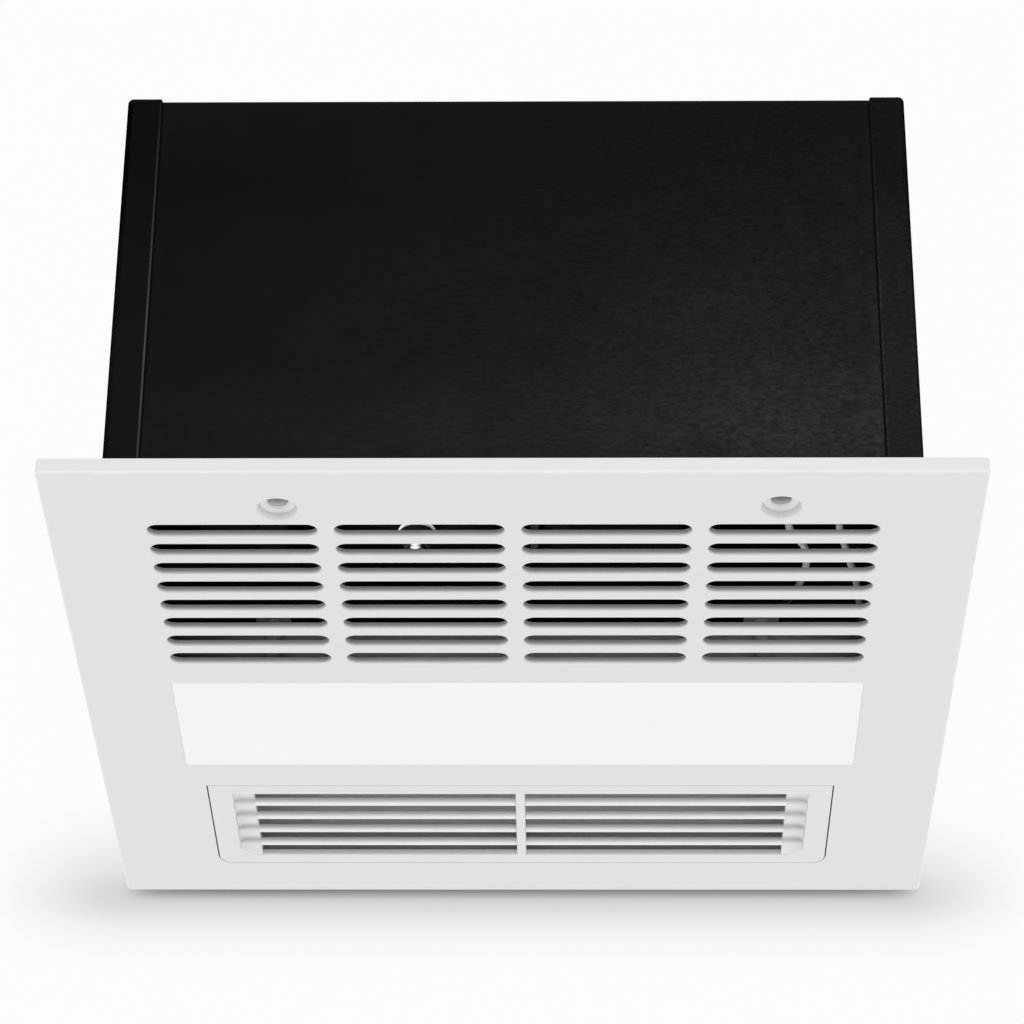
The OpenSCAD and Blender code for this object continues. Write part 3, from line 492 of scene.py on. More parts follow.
def plain_moulding(name, lo, hi, rough=0.5, spec=0.4, scale=40, grain=0.1):
    m, t, b, co = new_material(name)
    t.links.new(ramp(t, noise(t, co, scale, 4), [(0.3, lo), (0.7, hi)]), b.inputs["Base Color"])
    t.links.new(span(t, noise(t, co, scale * 12, 3), rough - 0.08, rough + 0.08), b.inputs["Roughness"])
    b.inputs["Specular IOR Level"].default_value = spec
    bump(t, b, noise(t, co, 1800, 3, 0.6), grain, 0.0001)
    return m


def screw_dull(name):
    """Dulled zinc of the panel screws, with painted shade on the near half of the head."""
    m, t, b, co = new_material(name)
    sep = t.nodes.new("ShaderNodeSeparateXYZ")
    t.links.new(co, sep.inputs[0])
    # painted shade: the head darkens towards its near side, lower Y
    tone = ramp(t, span(t, sep.outputs["Y"], 0.0, 1.0, -0.1760, -0.1665), [(0.0, 0.085), (0.25, 0.12), (0.5, 0.235), (0.7, 0.35), (0.85, 0.45), (1.0, 0.54)])
    t.links.new(scale_colour(t, tone, span(t, noise(t, co, 400, 4), 0.92, 1.08, 0.3, 0.7)), b.inputs["Base Color"])
    t.links.new(span(t, noise(t, co, 900, 3), 0.42, 0.55), b.inputs["Roughness"])
    b.inputs["Specular IOR Level"].default_value = 0.3
    bump(t, b, noise(t, co, 1500, 3, 0.6), 0.1, 0.00006)
    return m


def hub_steel(name):
    """Blackened steel nut, lighter at the end of the shaft, with a ring and a patch on its near side painted as
    highlights.
    """
    m, t, b, co = new_material(name)
    off = t.nodes.new("ShaderNodeVectorMath")
    off.operation = "MULTIPLY_ADD"
    t.links.new(co, off.inputs[0])
    off.inputs[1].default_value = (1.0, 1.0, 0.0)
    off.inputs[2].default_value = (-FAN[0] / 1000, -FAN[1] / 1000, 0.0)
    ln = t.nodes.new("ShaderNodeVectorMath")
    ln.operation = "LENGTH"
    t.links.new(off.outputs[0], ln.inputs[0])
    # painted highlight: a bright ring about 8 mm from the shaft
    tone = ramp(t, span(t, ln.outputs["Value"], 0.0, 1.0, 0.0, 0.010),
                [(0.0, 0.30), (0.24, 0.30), (0.28, 0.012), (0.78, 0.012), (0.80, 1.0), (0.83, 1.0), (0.845, 0.012), (1.0, 0.012)])
    # a painted highlight: a bright patch low on its near side, fitted to the one seen through the second slot; what
    # makes it there isn't known
    far = t.nodes.new("ShaderNodeVectorMath")
    far.operation = "DISTANCE"
    t.links.new(off.outputs[0], far.inputs[0])
    far.inputs[1].default_value = (-0.0006, -0.0056, 0.0)
    rub = ramp(t, span(t, far.outputs["Value"], 0.0, 1.0, 0.0, 0.004), [(0.0, 0.95), (0.42, 0.90), (0.66, 0.30), (0.80, 0.0)])
    add = t.nodes.new("ShaderNodeVectorMath")
    add.operation = "MAXIMUM"
    t.links.new(tone, add.inputs[0])
    sep = t.nodes.new("ShaderNodeSeparateXYZ")
    t.links.new(co, sep.inputs[0])
    t.links.new(scale_colour(t, rub, span(t, sep.outputs["Z"], 1.0, 0.0, 0.0432, 0.0448)), add.inputs[1])
    t.links.new(scale_colour(t, add.outputs[0], span(t, noise(t, co, 350, 3), 0.9, 1.08, 0.3, 0.7)), b.inputs["Base Color"])
    t.links.new(span(t, noise(t, co, 700, 3), 0.3, 0.42), b.inputs["Roughness"])
    b.inputs["Specular IOR Level"].default_value = 0.25
    bump(t, b, noise(t, co, 1500, 3, 0.6), 0.1, 0.00006)
    return m


def opal(name):
    """Opal diffuser: smooth, very pale satin."""
    m, t, b, co = new_material(name)
    cloud = noise(t, co, 7, 2, 0.4)
    t.links.new(ramp(t, cloud, [(0.3, (0.915, 0.915, 0.915)), (0.7, (0.93, 0.93, 0.93))]), b.inputs["Base Color"])
    t.links.new(span(t, noise(t, co, 300, 2), 0.34, 0.42), b.inputs["Roughness"])
    b.inputs["Specular IOR Level"].default_value = 0.3
    bump(t, b, noise(t, co, 2200, 2), 0.03, 0.00006)
    return m


def floor_shade(name):
    """The soft shadow under the panel's far edge, as the tint of a clear backdrop card. The card's own units are
    1/1000 of one step of the picture, from the middle of the far edge: X to the right, Y down."""
    m = bpy.data.materials.new(name)
    m.use_nodes = True
    t = m.node_tree
    t.nodes.clear()
    out = t.nodes.new("ShaderNodeOutputMaterial")
    tr = t.nodes.new("ShaderNodeBsdfTransparent")
    t.links.new(tr.outputs["BSDF"], out.inputs["Surface"])
    co = t.nodes.new("ShaderNodeTexCoord").outputs["Object"]
    sep = t.nodes.new("ShaderNodeSeparateXYZ")
    t.links.new(co, sep.inputs[0])

    def curve(v, stops):
        lo, hi = stops[0][0], stops[-1][0]
        return ramp(t, span(t, v, 0.0, 1.0, lo / 1000, hi / 1000), [((x - lo) / (hi - lo), y) for x, y in stops])

    x = math_node(t, "ABSOLUTE", sep.outputs["X"], 0.0)
    xs = math_node(t, "ABSOLUTE", math_node(t, "ADD", sep.outputs["X"], 0.010), 0.0)
    y = sep.outputs["Y"]
    # the broad shade, and the line of contact
    broad = math_node(t, "MULTIPLY", curve(y, [(-95, 0.0), (-60, 0.10), (-40, 0.24), (-30, 0.33), (-20, 0.41), (-10, 0.52), (0, 0.62), (8, 0.60), (14, 0.56),
                                                (20, 0.50), (28, 0.36), (36, 0.24), (47, 0.13), (60, 0.05), (80, 0.0)]),
                      curve(xs, [(330, 1.0), (385, 1.02), (396, 1.0), (414, 0.90), (424, 0.80), (444, 0.62), (464, 0.43), (484, 0.26), (504, 0.11), (530, 0.0)]))
    line = math_node(t, "MULTIPLY", curve(y, [(-24, 0.0), (-12, 0.22), (-4, 0.58), (0, 0.64), (1.2, 0.62), (2.0, 0.58), (3, 0.53), (5, 0.41), (7, 0.29), (9, 0.155), (11, 0.08), (15, 0.03), (22, 0.0)]),
                     curve(x, [(300, 1.0), (340, 0.93), (365, 0.84), (382, 0.55), (390, 0.28), (397, 0.06), (402, 0.0)]))
    keep = math_node(t, "MULTIPLY", math_node(t, "SUBTRACT", 1.0, math_node(t, "MULTIPLY", broad, 0.5)), math_node(t, "SUBTRACT", 1.0, line))
    t.links.new(span(t, keep, 0.0, 1.0), tr.inputs["Color"])
    return m


# painted shade and sheen of the black coat, and painted highlight on the lips: (height, left, right), in linear light
WALL_PAINTED_SHADE = [(23, 0.0060, 0.0205), (63, 0.0039, 0.0110), (110, 0.0036, 0.0080), (156, 0.0023, 0.0058), (190, 0.0034, 0.0041)]
PLATE_PAINTED_SHADE = [(23, 0.0042, 0.0115), (63, 0.0047, 0.0096), (110, 0.0033, 0.0088), (156, 0.0015, 0.0046), (190, 0.0012, 0.0040)]
LIP_PAINTED_LIGHT = [(10, 0.045, 0.018), (30, 0.050, 0.020), (63, 0.066, 0.020), (110, 0.042, 0.018), (156, 0.028, 0.012), (195, 0.009, 0.007)]
MAT = {
    # painted shadow along the joint under the end plates' flanges, with a faint painted highlight beside it
    "housing_black": powder_black("powder_black", WALL_PAINTED_SHADE, edge=[(153.0, 1.0), (156.6, 1.2), (157.85, 1.1), (158.05, 0.08), (176.0, 0.08)]),
    "panel_white": moulded_white("panel_white", 0.765, 0.775),
    "louvre_white": moulded_white("louvre_white", 0.765, 0.775, rough=0.46),
    "lens_opal": opal("lens_opal"),
    "zinc_screw": metal("zinc_screw", 0.42, 0.52, (0.28, 0.42), scale=400),
    "duct_enamel": duct_enamel("duct_enamel"),
    "casing_black": plain_moulding("casing_black", 0.004, 0.007, 0.55, 0.1, 30),
    "steel_black": metal("steel_black", 0.004, 0.007, (0.4, 0.55), metallic=0.0, scale=200, spec=0.12),
    "tray_steel": tray_steel("tray_steel"),
    "aluminium_bare": metal("aluminium_bare", 0.60, 0.68, (0.3, 0.42), scale=300, stretch=(1, 1, 0.1)),
    "steel_bright": metal("steel_bright", 0.52, 0.60, (0.22, 0.34), scale=350, stretch=(1, 1, 0.2)),
    "stator_steel": metal("stator_steel", 0.16, 0.26, (0.4, 0.6), scale=900, stretch=(0.05, 0.05, 1)),
    "copper_winding": metal("copper_winding", (0.30, 0.11, 0.045), (0.45, 0.19, 0.08), (0.35, 0.5), scale=700, stretch=(0.1, 0.1, 1)),
    "brass_tab": metal("brass_tab", (0.55, 0.42, 0.18), (0.66, 0.52, 0.26), (0.28, 0.4), scale=300),
    "black_plastic": plain_moulding("black_plastic", 0.004, 0.008, 0.5, 0.2),
    "white_plastic": plain_moulding("white_plastic", 0.80, 0.86, 0.45, 0.35),
    "ceramic_white": plain_moulding("ceramic_white", 0.62, 0.70, 0.75, 0.2, 200, 0.3),
    "pcb_green": plain_moulding("pcb_green", (0.003, 0.016, 0.008), (0.005, 0.024, 0.012), 0.4, 0.3, 120),
    "pcb_white": plain_moulding("pcb_white", 0.70, 0.76, 0.35, 0.5, 120),
    "led_yellow": plain_moulding("led_yellow", (0.72, 0.55, 0.16), (0.80, 0.64, 0.24), 0.4, 0.4, 500),
    "rubber_black": plain_moulding("rubber_black", 0.012, 0.02, 0.75, 0.2, 150, 0.3),
    "foam_grey": plain_moulding("foam_grey", 0.03, 0.06, 0.9, 0.1, 900, 0.8),
    "lead_white": lead_white("lead_white"),
}
# painted shade on the slats, darker up into the louvre, with a painted highlight low near the face
SLAT_WHITE = slot_wall("slat_white", [(-7.5, 0.84), (-7.25, 0.86), (-7.0, 0.90), (-6.7, 0.87), (-6.3, 0.74), (-5.85, 0.65), (-5.35, 0.56), (-4.8, 0.53), (-4.2, 0.50), (-3.5, 0.46)], 0.46)
# painted shade on the lands by height, and darker towards the louvre's ends
LAND_WHITE = slot_wall("land_white", [(-7.5, 0.765), (-7.2, 0.765), (-6.93, 0.75), (-6.75, 0.72), (-6.48, 0.67), (-6.2, 0.63), (-5.9, 0.605), (-5.4, 0.60), (-5.0, 0.64), (-4.5, 0.50)], 0.46,
                       side=[(131.0, 1.0), (134.5, 0.95), (137.5, 0.90), (138.9, 0.88)])
# painted shade inside the louvre, darker the deeper it lies
LOUVRE_INNER = slot_wall("louvre_inner", [(-7.5, 0.70), (-4.5, 0.62), (-3.0, 0.45), (8.0, 0.30)])
# painted shade on the walls of the intake slots, darker the deeper they lie
SLOT_WALL = slot_wall("slot_wall", [(-7.5, 0.79), (-7.25, 0.81), (-6.9, 0.73), (-6.45, 0.54), (-6.0, 0.45), (-5.5, 0.37), (-5.05, 0.39), (-4.5, 0.38)])
# painted light and shade in the screw recesses by height, and darker over the middle of each screw
RECESS = slot_wall("recess_wall", [(-7.5, 0.79), (-7.2, 0.78), (-6.9, 0.76), (-6.45, 0.74), (-5.6, 0.70), (-5.2, 0.66), (-4.85, 0.59), (-4.65, 0.64), (-4.5, 0.80), (-4.2, 0.80), (-3.8, 0.76), (-3.3, 0.72), (-1.2, 0.70)],
                   side=[(92.5, 1.0), (96.0, 0.975), (98.3, 0.93), (101.5, 0.93), (103.8, 0.975), (107.0, 1.0), (110.0, 0.975), (112.3, 0.93), (115.7, 0.93), (118.0, 0.975), (121.5, 1.0)])
# painted highlight on the panel's edge fillet
RIM = slot_wall("rim_edge", [(-7.5, 0.775), (-7.35, 0.80), (-7.0, 0.845), (-6.4, 0.85), (-6.0, 0.80)])
SCREW_DULL = screw_dull("screw_dull")
# painted shade on the end walls of the louvre's gaps, darker the deeper they lie
GAP_PAINTED_SHADE = slot_wall("gap_wall", [(-7.5, 0.42), (-7.0, 0.20), (-6.0, 0.10), (-4.5, 0.07), (8.0, 0.05)])
# painted highlight along the cut edge of the flanges
PLATE_BLACK = powder_black("powder_black_plate", PLATE_PAINTED_SHADE, edge=[(158.8, 1.35), (159.6, 1.05), (161.0, 1.0), (176.0, 1.0)])
# painted shade on the bends: darker towards their outside
BEND_BLACK = powder_black("powder_black_bend", PLATE_PAINTED_SHADE, spec=0.0, gain=1.25, edge=[(171.6, 1.25), (172.8, 1.15), (173.6, 0.6), (174.3, 0.12)])
# painted highlight on the flanges' rounded cut edges, lighter on the left
LIP_BLACK = powder_black("powder_black_lip", LIP_PAINTED_LIGHT, spec=0.02)
HUB_STEEL = hub_steel("hub_steel")
slot_of = {r["node"]: r["material_slot"] for r in frame["record"]["subparts"]}
for name, o in nodes.items():
    o.data.materials.clear()
    o.data.materials.append(HUB_STEEL if name in ("hub_nut", "motor_shaft") else MAT[slot_of[name]])


def darken_ends(pc, start, mat):
    """Gives the walls that face along X, from face number start on, the painted shade material of the gaps at the
    louvre's ends.
    """
    for k in range(start, len(pc.faces)):
        if abs(float(np.mean([n[0] for n in pc.normals[k]]))) > 0.985 and max(abs(float(np.mean([n[1] for n in pc.normals[k]]))), 0) < 0.5:
            pc.slots[k] = mat


# ------------------------------------------------------------------ front panel
def build_panel():
    pc = Piece("front_panel_moulding")
    down, up = (0, 0, -1), (0, 0, 1)
    outer, on = rounded_rect(-200, 200, -200, 200, 2.6, 12)
    R = 1.5
    # the rim: fillet at the face, side, small rounding at the back, back rim, a small cut, inner wall down to the skin
    ring(pc, outer, on, [fillet(0, FACE, R, R, 1, 8)], 3)
    ring(pc, outer, on, [
        [(0, FACE + R, 1, 0), (0, -0.3, 1, 0)],
        fillet(0, 0, 0.3, 0.3, -1, 3),
        [(-0.3, 0, 0, 1), (-2.7, 0, 0, 1)],
        [(-2.7, 0, 0, 1), (-3, -0.3, -1, 0)],
        [(-3, -0.3, -1, 0), (-3, SKIN, -1, 0)],
    ])
    face_loops = [shifted(outer, on, -R)]
    back_loops = [shifted(outer, on, -3)]
    # intake slots: sharp near lip, long rounding at the far lip
    for i in range(4):
        for j in range(8):
            p, n = stadium((i - 1.5) * 80.3, -153.5 + j * 16.03, 73, 9.5)
            n = [(-a, -b) for a, b in n]
            far = np.clip((1 - np.array(n)[:, 1]) / 2, 0, 1) ** 1.5
            rx, rz = 0.12 + 1.38 * far, 0.12 + 2.28 * far
            rows = []
            for k in range(7):
                t = math.pi / 2 * k / 6
                nx, nz = rz * math.sin(t), rx * math.cos(t)
                h = np.hypot(nx, nz)
                rows.append((-rx * (1 - math.sin(t)), FACE + rz * (1 - math.cos(t)), nx / h, -nz / h))
            ring(pc, p, n, [rows, [(0, FACE + rz, 1, 0), (0, SKIN - 0.0, 1, 0)]], 1)
            face_loops.append(shifted(p, n, -rx))
            back_loops.append(p)
    # light window
    p, n = rounded_rect(-158.6, 158.6, LENS_Y - 40.5, LENS_Y + 40.5, 2.0, 6)
    n = [(-a, -b) for a, b in n]
    ring(pc, p, n, [fillet(0, FACE, 0.1, 0.1, 1, 3), [(0, FACE + 0.1, 1, 0), (0, SKIN, 1, 0)]])
    face_loops.append(shifted(p, n, -0.1))
    back_loops.append(p)
    # louvre opening, which follows the drum
    def opening(z, off=0.0):
        r = 43.6
        yn = LV_Y - math.sqrt(r * r - (z - LV_Z) ** 2)
        yf = min(LV_Y + 42.5, LV_Y + math.sqrt(r * r - (z - LV_Z) ** 2))
        pts, nn = [], []
        W, yc = LW + 0.64, LV_Y + 34.0
        for x, y, m in [(-W, yn, (1, 1)), (W, yn, (-1, 1)), (W, yc, (-1, 0))]:
            pts.append((x, y)); nn.append(m)
        for k in range(1, 9):
            a = math.radians(90 * k / 8)
            pts.append((W - 8.5 + 8.5 * math.cos(a), min(yc + 8.5 * math.sin(a), yf)))
            nn.append((-math.cos(a), -math.sin(a)))
        for k in range(0, 8):
            a = math.radians(90 + 90 * k / 8)
            pts.append((8.5 - W + 8.5 * math.cos(a), min(yc + 8.5 * math.sin(a), yf)))
            nn.append((-math.cos(a), -math.sin(a)))
        pts += [(-W, yc)]
        nn += [(1, 0)]
        return [(x + m[0] * off, y + m[1] * off) for (x, y), m in zip(pts, nn)], nn
    rows, norms = [], []
    e = 0.12
    for off, z in ((-e, FACE), (-e * 0.3, FACE + e * 0.3), (0, FACE + e), (0, -6.4), (0, -5.5), (0, SKIN)):
        q, m = opening(z, off)
        rows.append([(x, y, z) for x, y in q])
        k = 0.0 if z == FACE else 0.7 if z < FACE + e - 0.01 else 1.0
        norms.append([(*(np.array(unit(a)) * k), -(1 - k * k) ** 0.5) for a in m])
    k0 = len(pc.faces)
    pc.grid(rows, norms, True)
    darken_ends(pc, k0, 4)
    face_loops.append([(x, y) for x, y, z in rows[0]])
    back_loops.append([(x, y) for x, y, z in rows[-1]])
    # screw recesses: a shallow dish, then a tapered pocket down to the screw
    for cx, cy in SCREWS:
        p, n = circle(cx, cy, 0.0, 56)
        prof = [(9.1, FACE, 0, -1), (8.95, FACE + 0.05, -0.35, -1), (8.8, FACE + 0.18, -0.7, -0.9), (8.7, FACE + 0.4, -0.9, -0.55),
                (7.85, FACE + 2.45, -0.92, -0.38), (7.6, FACE + 2.85, -0.6, -0.8), (7.3, FACE + 2.98, -0.08, -1), (6.7, FACE + 3.02, -0.12, -1),
                (6.2, FACE + 3.1, -0.25, -0.97), (5.7, FACE + 3.27, -0.4, -0.92), (5.2, FACE + 3.52, -0.5, -0.86), (4.8, FACE + 3.8, -0.6, -0.8),
                (4.45, FACE + 4.15, -0.8, -0.6), (4.3, FACE + 4.5, -1, -0.1), (4.3, -1.2, -1, 0)]
        # the profile is outside-in, so offsets along the radial normals are the radii themselves
        ring(pc, p, n, [[(r, z, a / math.hypot(a, b), b / math.hypot(a, b)) for r, z, a, b in prof],
                        [(4.3, -1.2, 0, -1), (2.2, -1.2, 0, -1)],
                        [(2.2, -1.2, -1, 0), (2.2, -0.1, -1, 0)]], 2)
        ring(pc, p, n, [[(2.2, -0.1, 0, 1), (8.0, -0.1, 0, 1)],
                        [(8.0, -0.1, 1, 0), (8.0, SKIN, 1, 0)]])
        face_loops.append(shifted(p, n, 9.1))
        back_loops.append(shifted(p, n, 8.0))
    # posts, bosses and hooks on the back
    for x in (-112, 112):
        for y in (-26.0, 71.5):
            p, n = circle(x, y, 0.0, 24)
            ring(pc, p, n, [[(1.5, SKIN, 1, 0), (1.5, 1.2, 1, 0)], fillet(1.5, 1.5, 0.3, 0.3, -1, 2)[::-1]])
            pc.fill([shifted(p, n, 1.2)], lambda u, v: (u, v, 1.5), up)
            back_loops.append(shifted(p, n, 1.5))
    posts = [(x, y, 0.0, 3.5, 1.45, SKIN + 0.2) for x in (-160.5, 160.5) for y in (98.0, 157.0)]
    for cx, cy, top, r, bore, floor in posts:
        p, n = circle(cx, cy, 0.0, 32)
        ring(pc, p, n, [[(r, SKIN, 1, 0), (r, top - 0.3, 1, 0)], fillet(r, top, 0.3, 0.3, -1, 2)[::-1],
                        [(r - 0.3, top, 0, 1), (bore, top, 0, 1)], [(bore, top, -1, 0), (bore, floor, -1, 0)]])
        q = shifted(p, n, bore)
        pc.fill([q], lambda u, v, z=floor: (u, v, z), up)
        back_loops.append(shifted(p, n, r))
    for hx in (-90, 90):
        solid_box(pc, hx - 7.5, hx + 7.5, 177, 179, SKIN - 0.2, 5, 0.3)
        solid_box(pc, hx - 7.5, hx + 7.5, 178.9, 181.5, 1.6, 3.4, 0.3)
    for x in (-80.3, 0, 80.3):
        solid_box(pc, x - 1, x + 1, -164, -34, SKIN - 0.2, SKIN + 2.5, 0.3)
    pc.fill(face_loops, lambda u, v: (u, v, FACE), down)
    pc.fill(back_loops, lambda u, v: (u, v, SKIN), up)
    return pc.make([MAT["panel_white"], SLOT_WALL, RECESS, RIM, GAP_PAINTED_SHADE], "housing", ["front_panel"])


def solid_box(pc, x0, x1, y0, y1, z0, z1, b=0.3, mat=0):
    """A box whose edges are cut by b, with normals blended over the cuts."""
    lo, hi = np.array([x0, y0, z0], float), np.array([x1, y1, z1], float)
    b = min(b, *((hi - lo) / 3))

    def corner(s, k):
        """The corner of sign s, pulled back by b except along axis k."""
        p = np.where(np.array(s) > 0, hi, lo).astype(float)
        for a in range(3):
            if a != k:
                p[a] -= s[a] * b
        return p

    for k in range(3):
        i, j = [a for a in range(3) if a != k]
        for d in (-1, 1):
            q = []
            for si, sj in ((-1, -1), (1, -1), (1, 1), (-1, 1)):
                s = [0, 0, 0]
                s[k], s[i], s[j] = d, si, sj
                q.append(corner(s, k))
            n = np.zeros(3)
            n[k] = d
            pc.face(q, n, mat)
    for k in range(3):
        i, j = [a for a in range(3) if a != k]
        for si in (-1, 1):
            for sj in (-1, 1):
                q, n = [], []
                for face_axis, sk in ((i, -1), (i, 1), (j, 1), (j, -1)):
                    s = [0, 0, 0]
                    s[k], s[i], s[j] = sk, si, sj
                    q.append(corner(s, face_axis))
                    v = np.zeros(3)
                    v[face_axis] = s[face_axis]
                    n.append(v)
                pc.face(q, n, mat)
    for s in ((a, b_, c) for a in (-1, 1) for b_ in (-1, 1) for c in (-1, 1)):
        q, n = [], []
        for k in range(3):
            q.append(corner(s, k))
            v = np.zeros(3)
            v[k] = s[k]
            n.append(v)
        pc.face(q, n, mat)


def build_panel_screws():
    """The two panel screws: domed heads with a small cross, seen from below, and their plain shanks."""
    pc = Piece("panel_screw_pair")
    n = 96
    for cx, cy in SCREWS:
        rows = []
        prof = [(0.01, 0.0), (0.3, 0.0), (0.55, 0.01), (0.8, 0.02), (1.05, 0.04), (1.3, 0.06), (1.55, 0.09), (1.8, 0.13), (2.2, 0.16), (2.7, 0.22),
                (3.2, 0.28), (3.6, 0.34), (3.95, 0.42), (4.14, 0.56), (4.2, 0.8), (4.2, 2.2)]
        for r, d in prof:
            row = []
            for i in range(n):
                a = 2 * math.pi * i / n
                u, v = abs(r * math.cos(a)), abs(r * math.sin(a))
                arm = max(min(1.0, (0.42 - min(u, v)) / 0.2), 0.0) * max(0.0, min(1.0, (1.5 - r) / 0.35))
                row.append((cx + r * math.cos(a), cy + r * math.sin(a), -3.43 + d + 0.25 * arm))
            rows.append(row)
        g = np.array(rows)
        du = np.roll(g, -1, 1) - np.roll(g, 1, 1)
        dr = np.gradient(g, axis=0)
        nr = np.cross(du, dr)
        nr /= np.maximum(np.linalg.norm(nr, axis=2, keepdims=True), 1e-9)
        flip = np.where(nr[:, :, 2:3] > 0.05, -1.0, 1.0)
        nr = nr * flip
        pc.grid(g.tolist(), nr.tolist(), True)
        f = lambda u, v, w, d, cx=cx, cy=cy: (u, v, w) if d else (cx + u, cy + v, w)
        revolve(pc, [[(4.2, -1.23, 0, 1), (1.9, -1.23, 0, 1)], [(1.9, -1.23, 1, 0), (1.9, 8.6, 1, 0)],
                     [(1.9, 8.6, 0.7, 0.7), (1.2, 9.6, 0.7, 0.7), (0.01, 9.7, 0, 1)]], f, 32)
    return pc.make([SCREW_DULL], "housing", ["panel_screws"])


# ------------------------------------------------------------------ light window
def build_lens():
    pc = Piece("lens_diffuser")
    p, n = rounded_rect(-158.55, 158.55, LENS_Y - 40.45, LENS_Y + 40.45, 1.95, 6)
    f = 0.15
    ring(pc, p, n, [fillet(0, FACE, f, f, 1, 4), [(0, FACE + f, 1, 0), (0, SKIN, 1, 0)]])
    q, m = rounded_rect(-160.1, 160.1, LENS_Y - 42, LENS_Y + 42, 2.0, 6)
    ring(pc, q, m, [[(0, SKIN, 1, 0), (0, -3.3, 1, 0)], fillet(0, -3, 0.3, 0.3, -1, 2)[::-1]])
    pc.fill([shifted(p, n, -f)], lambda u, v: (u, v, FACE), (0, 0, -1))
    pc.fill([q, p], lambda u, v: (u, v, SKIN), (0, 0, -1))
    pc.fill([shifted(q, m, -0.3)], lambda u, v: (u, v, -3), (0, 0, 1))
    return pc.make([MAT["lens_opal"]], "housing", ["led_lens"])


# ------------------------------------------------------------------ louvre
SLATS = [-23.2 + 14.25 * i for i in range(4)]
LAND = 128.6           # half length of the louvre's openings


def slat_outline(n=14):
    """The slat's outline from its own line and the face: points (y, height) and normals. It runs down the convex near side,
    round the far edge and back up the hollow side."""
    pts = []
    for i in range(n + 1):
        a = math.pi / 2 * i / n
        pts.append((2.65 - 2.65 * math.cos(a), 3.2 - 3.0 * math.sin(a)))
    for i in range(1, 7):
        a = math.radians(-90 + 180 * i / 6)
        pts.append((2.7 + 0.5 * math.cos(a), 0.7 + 0.5 * math.sin(a)))
    for i in range(n - 1, -1, -1):
        a = math.pi / 2 * i / n
        pts.append((2.65 - 1.55 * math.cos(a), 3.2 - 2.0 * math.sin(a)))
    for i in range(1, 6):
        a = math.radians(180 * i / 6)
        pts.append((0.55 + 0.55 * math.cos(a), 3.2 + 0.4 * math.sin(a)))
    p = np.array(pts)
    t = np.roll(p, -1, 0) - np.roll(p, 1, 0)
    nrm = np.column_stack([t[:, 1], -t[:, 0]])
    nrm /= np.linalg.norm(nrm, axis=1)[:, None]
    # the outline runs anticlockwise seen with y to the right and height up, so (dy, -dx) points out
    return p, nrm


def build_slats():
    pc = Piece("louvre_slat_set")
    p, n = slat_outline()
    for y in SLATS:
        for s in (-1, 1):
            rows, norms = [], []
            for x in np.linspace(2.35, LAND, 6):
                rows.append([(s * x, LV_Y + y + a, FACE + b) for a, b in p])
                norms.append([(0, a, b) for a, b in n])
            pc.grid(rows, norms, True)
            for x, d in ((2.35, -1), (LAND, 1)):
                pc.fill([[(y + a, b) for a, b in p]], lambda u, v, x=x, s=s: (s * x, LV_Y + u, FACE + v), (s * d, 0, 0))
    return pc.make([SLAT_WHITE], "louvre", ["louvre_slats"])


def land_outline():
    """The lands' stepped face, from the near wall to the far wall: points (y, height) from the pivot line and the face, and
    normals. Each step carries on a slat's convex side."""
    pts = [(-32.7, 0.45)]
    for i, y in enumerate(SLATS):
        y0 = pts[-1][0]
        top = 2.45 if i else 2.25
        h0 = pts[-1][1]
        for k in range(1, 7):
            t = k / 6
            pts.append((y0 + (y - 0.35 - y0) * t, h0 + (top - h0) * (t ** 1.6)))
        pts += [(y - 0.12, top + 0.06), (y + 0.08, top + 0.02)]
        for k in range(3, 15):
            a = math.pi / 2 * k / 14
            pts.append((y + 2.65 - 2.65 * math.cos(a), 3.0 - 2.8 * math.sin(a)))
        pts.append((y + 3.4, 0.2))
    pts.append((32.5, 0.2))
    p = np.array(pts)
    t = np.gradient(p, axis=0)
    nrm = np.column_stack([t[:, 1], -t[:, 0]])
    nrm /= np.linalg.norm(nrm, axis=1)[:, None]
    return pts, nrm


def louvre_outline(z, off=0.0, n=8):
    """The frame's outside at a height: near edge on the drum, far edge cut back, far corners rounded."""
    half = math.sqrt(DRUM * DRUM - (z - LV_Z) ** 2)
    yn, yf = -half, min(42.0, half)
    pts = [(-LW, yn, -1, -1), (LW, yn, 1, -1)]
    for k in range(n + 1):
        a = math.radians(90 * k / n)
        pts.append((LW - 8 + 8 * math.cos(a), min(34 + 8 * math.sin(a), yf), math.cos(a), math.sin(a)))
    for k in range(n + 1):
        a = math.radians(90 + 90 * k / n)
        pts.append((8 - LW + 8 * math.cos(a), min(34 + 8 * math.sin(a), yf), math.cos(a), math.sin(a)))
    return [(x + nx * off, y + ny * off) for x, y, nx, ny in pts], [unit((nx, ny)) for x, y, nx, ny in pts]


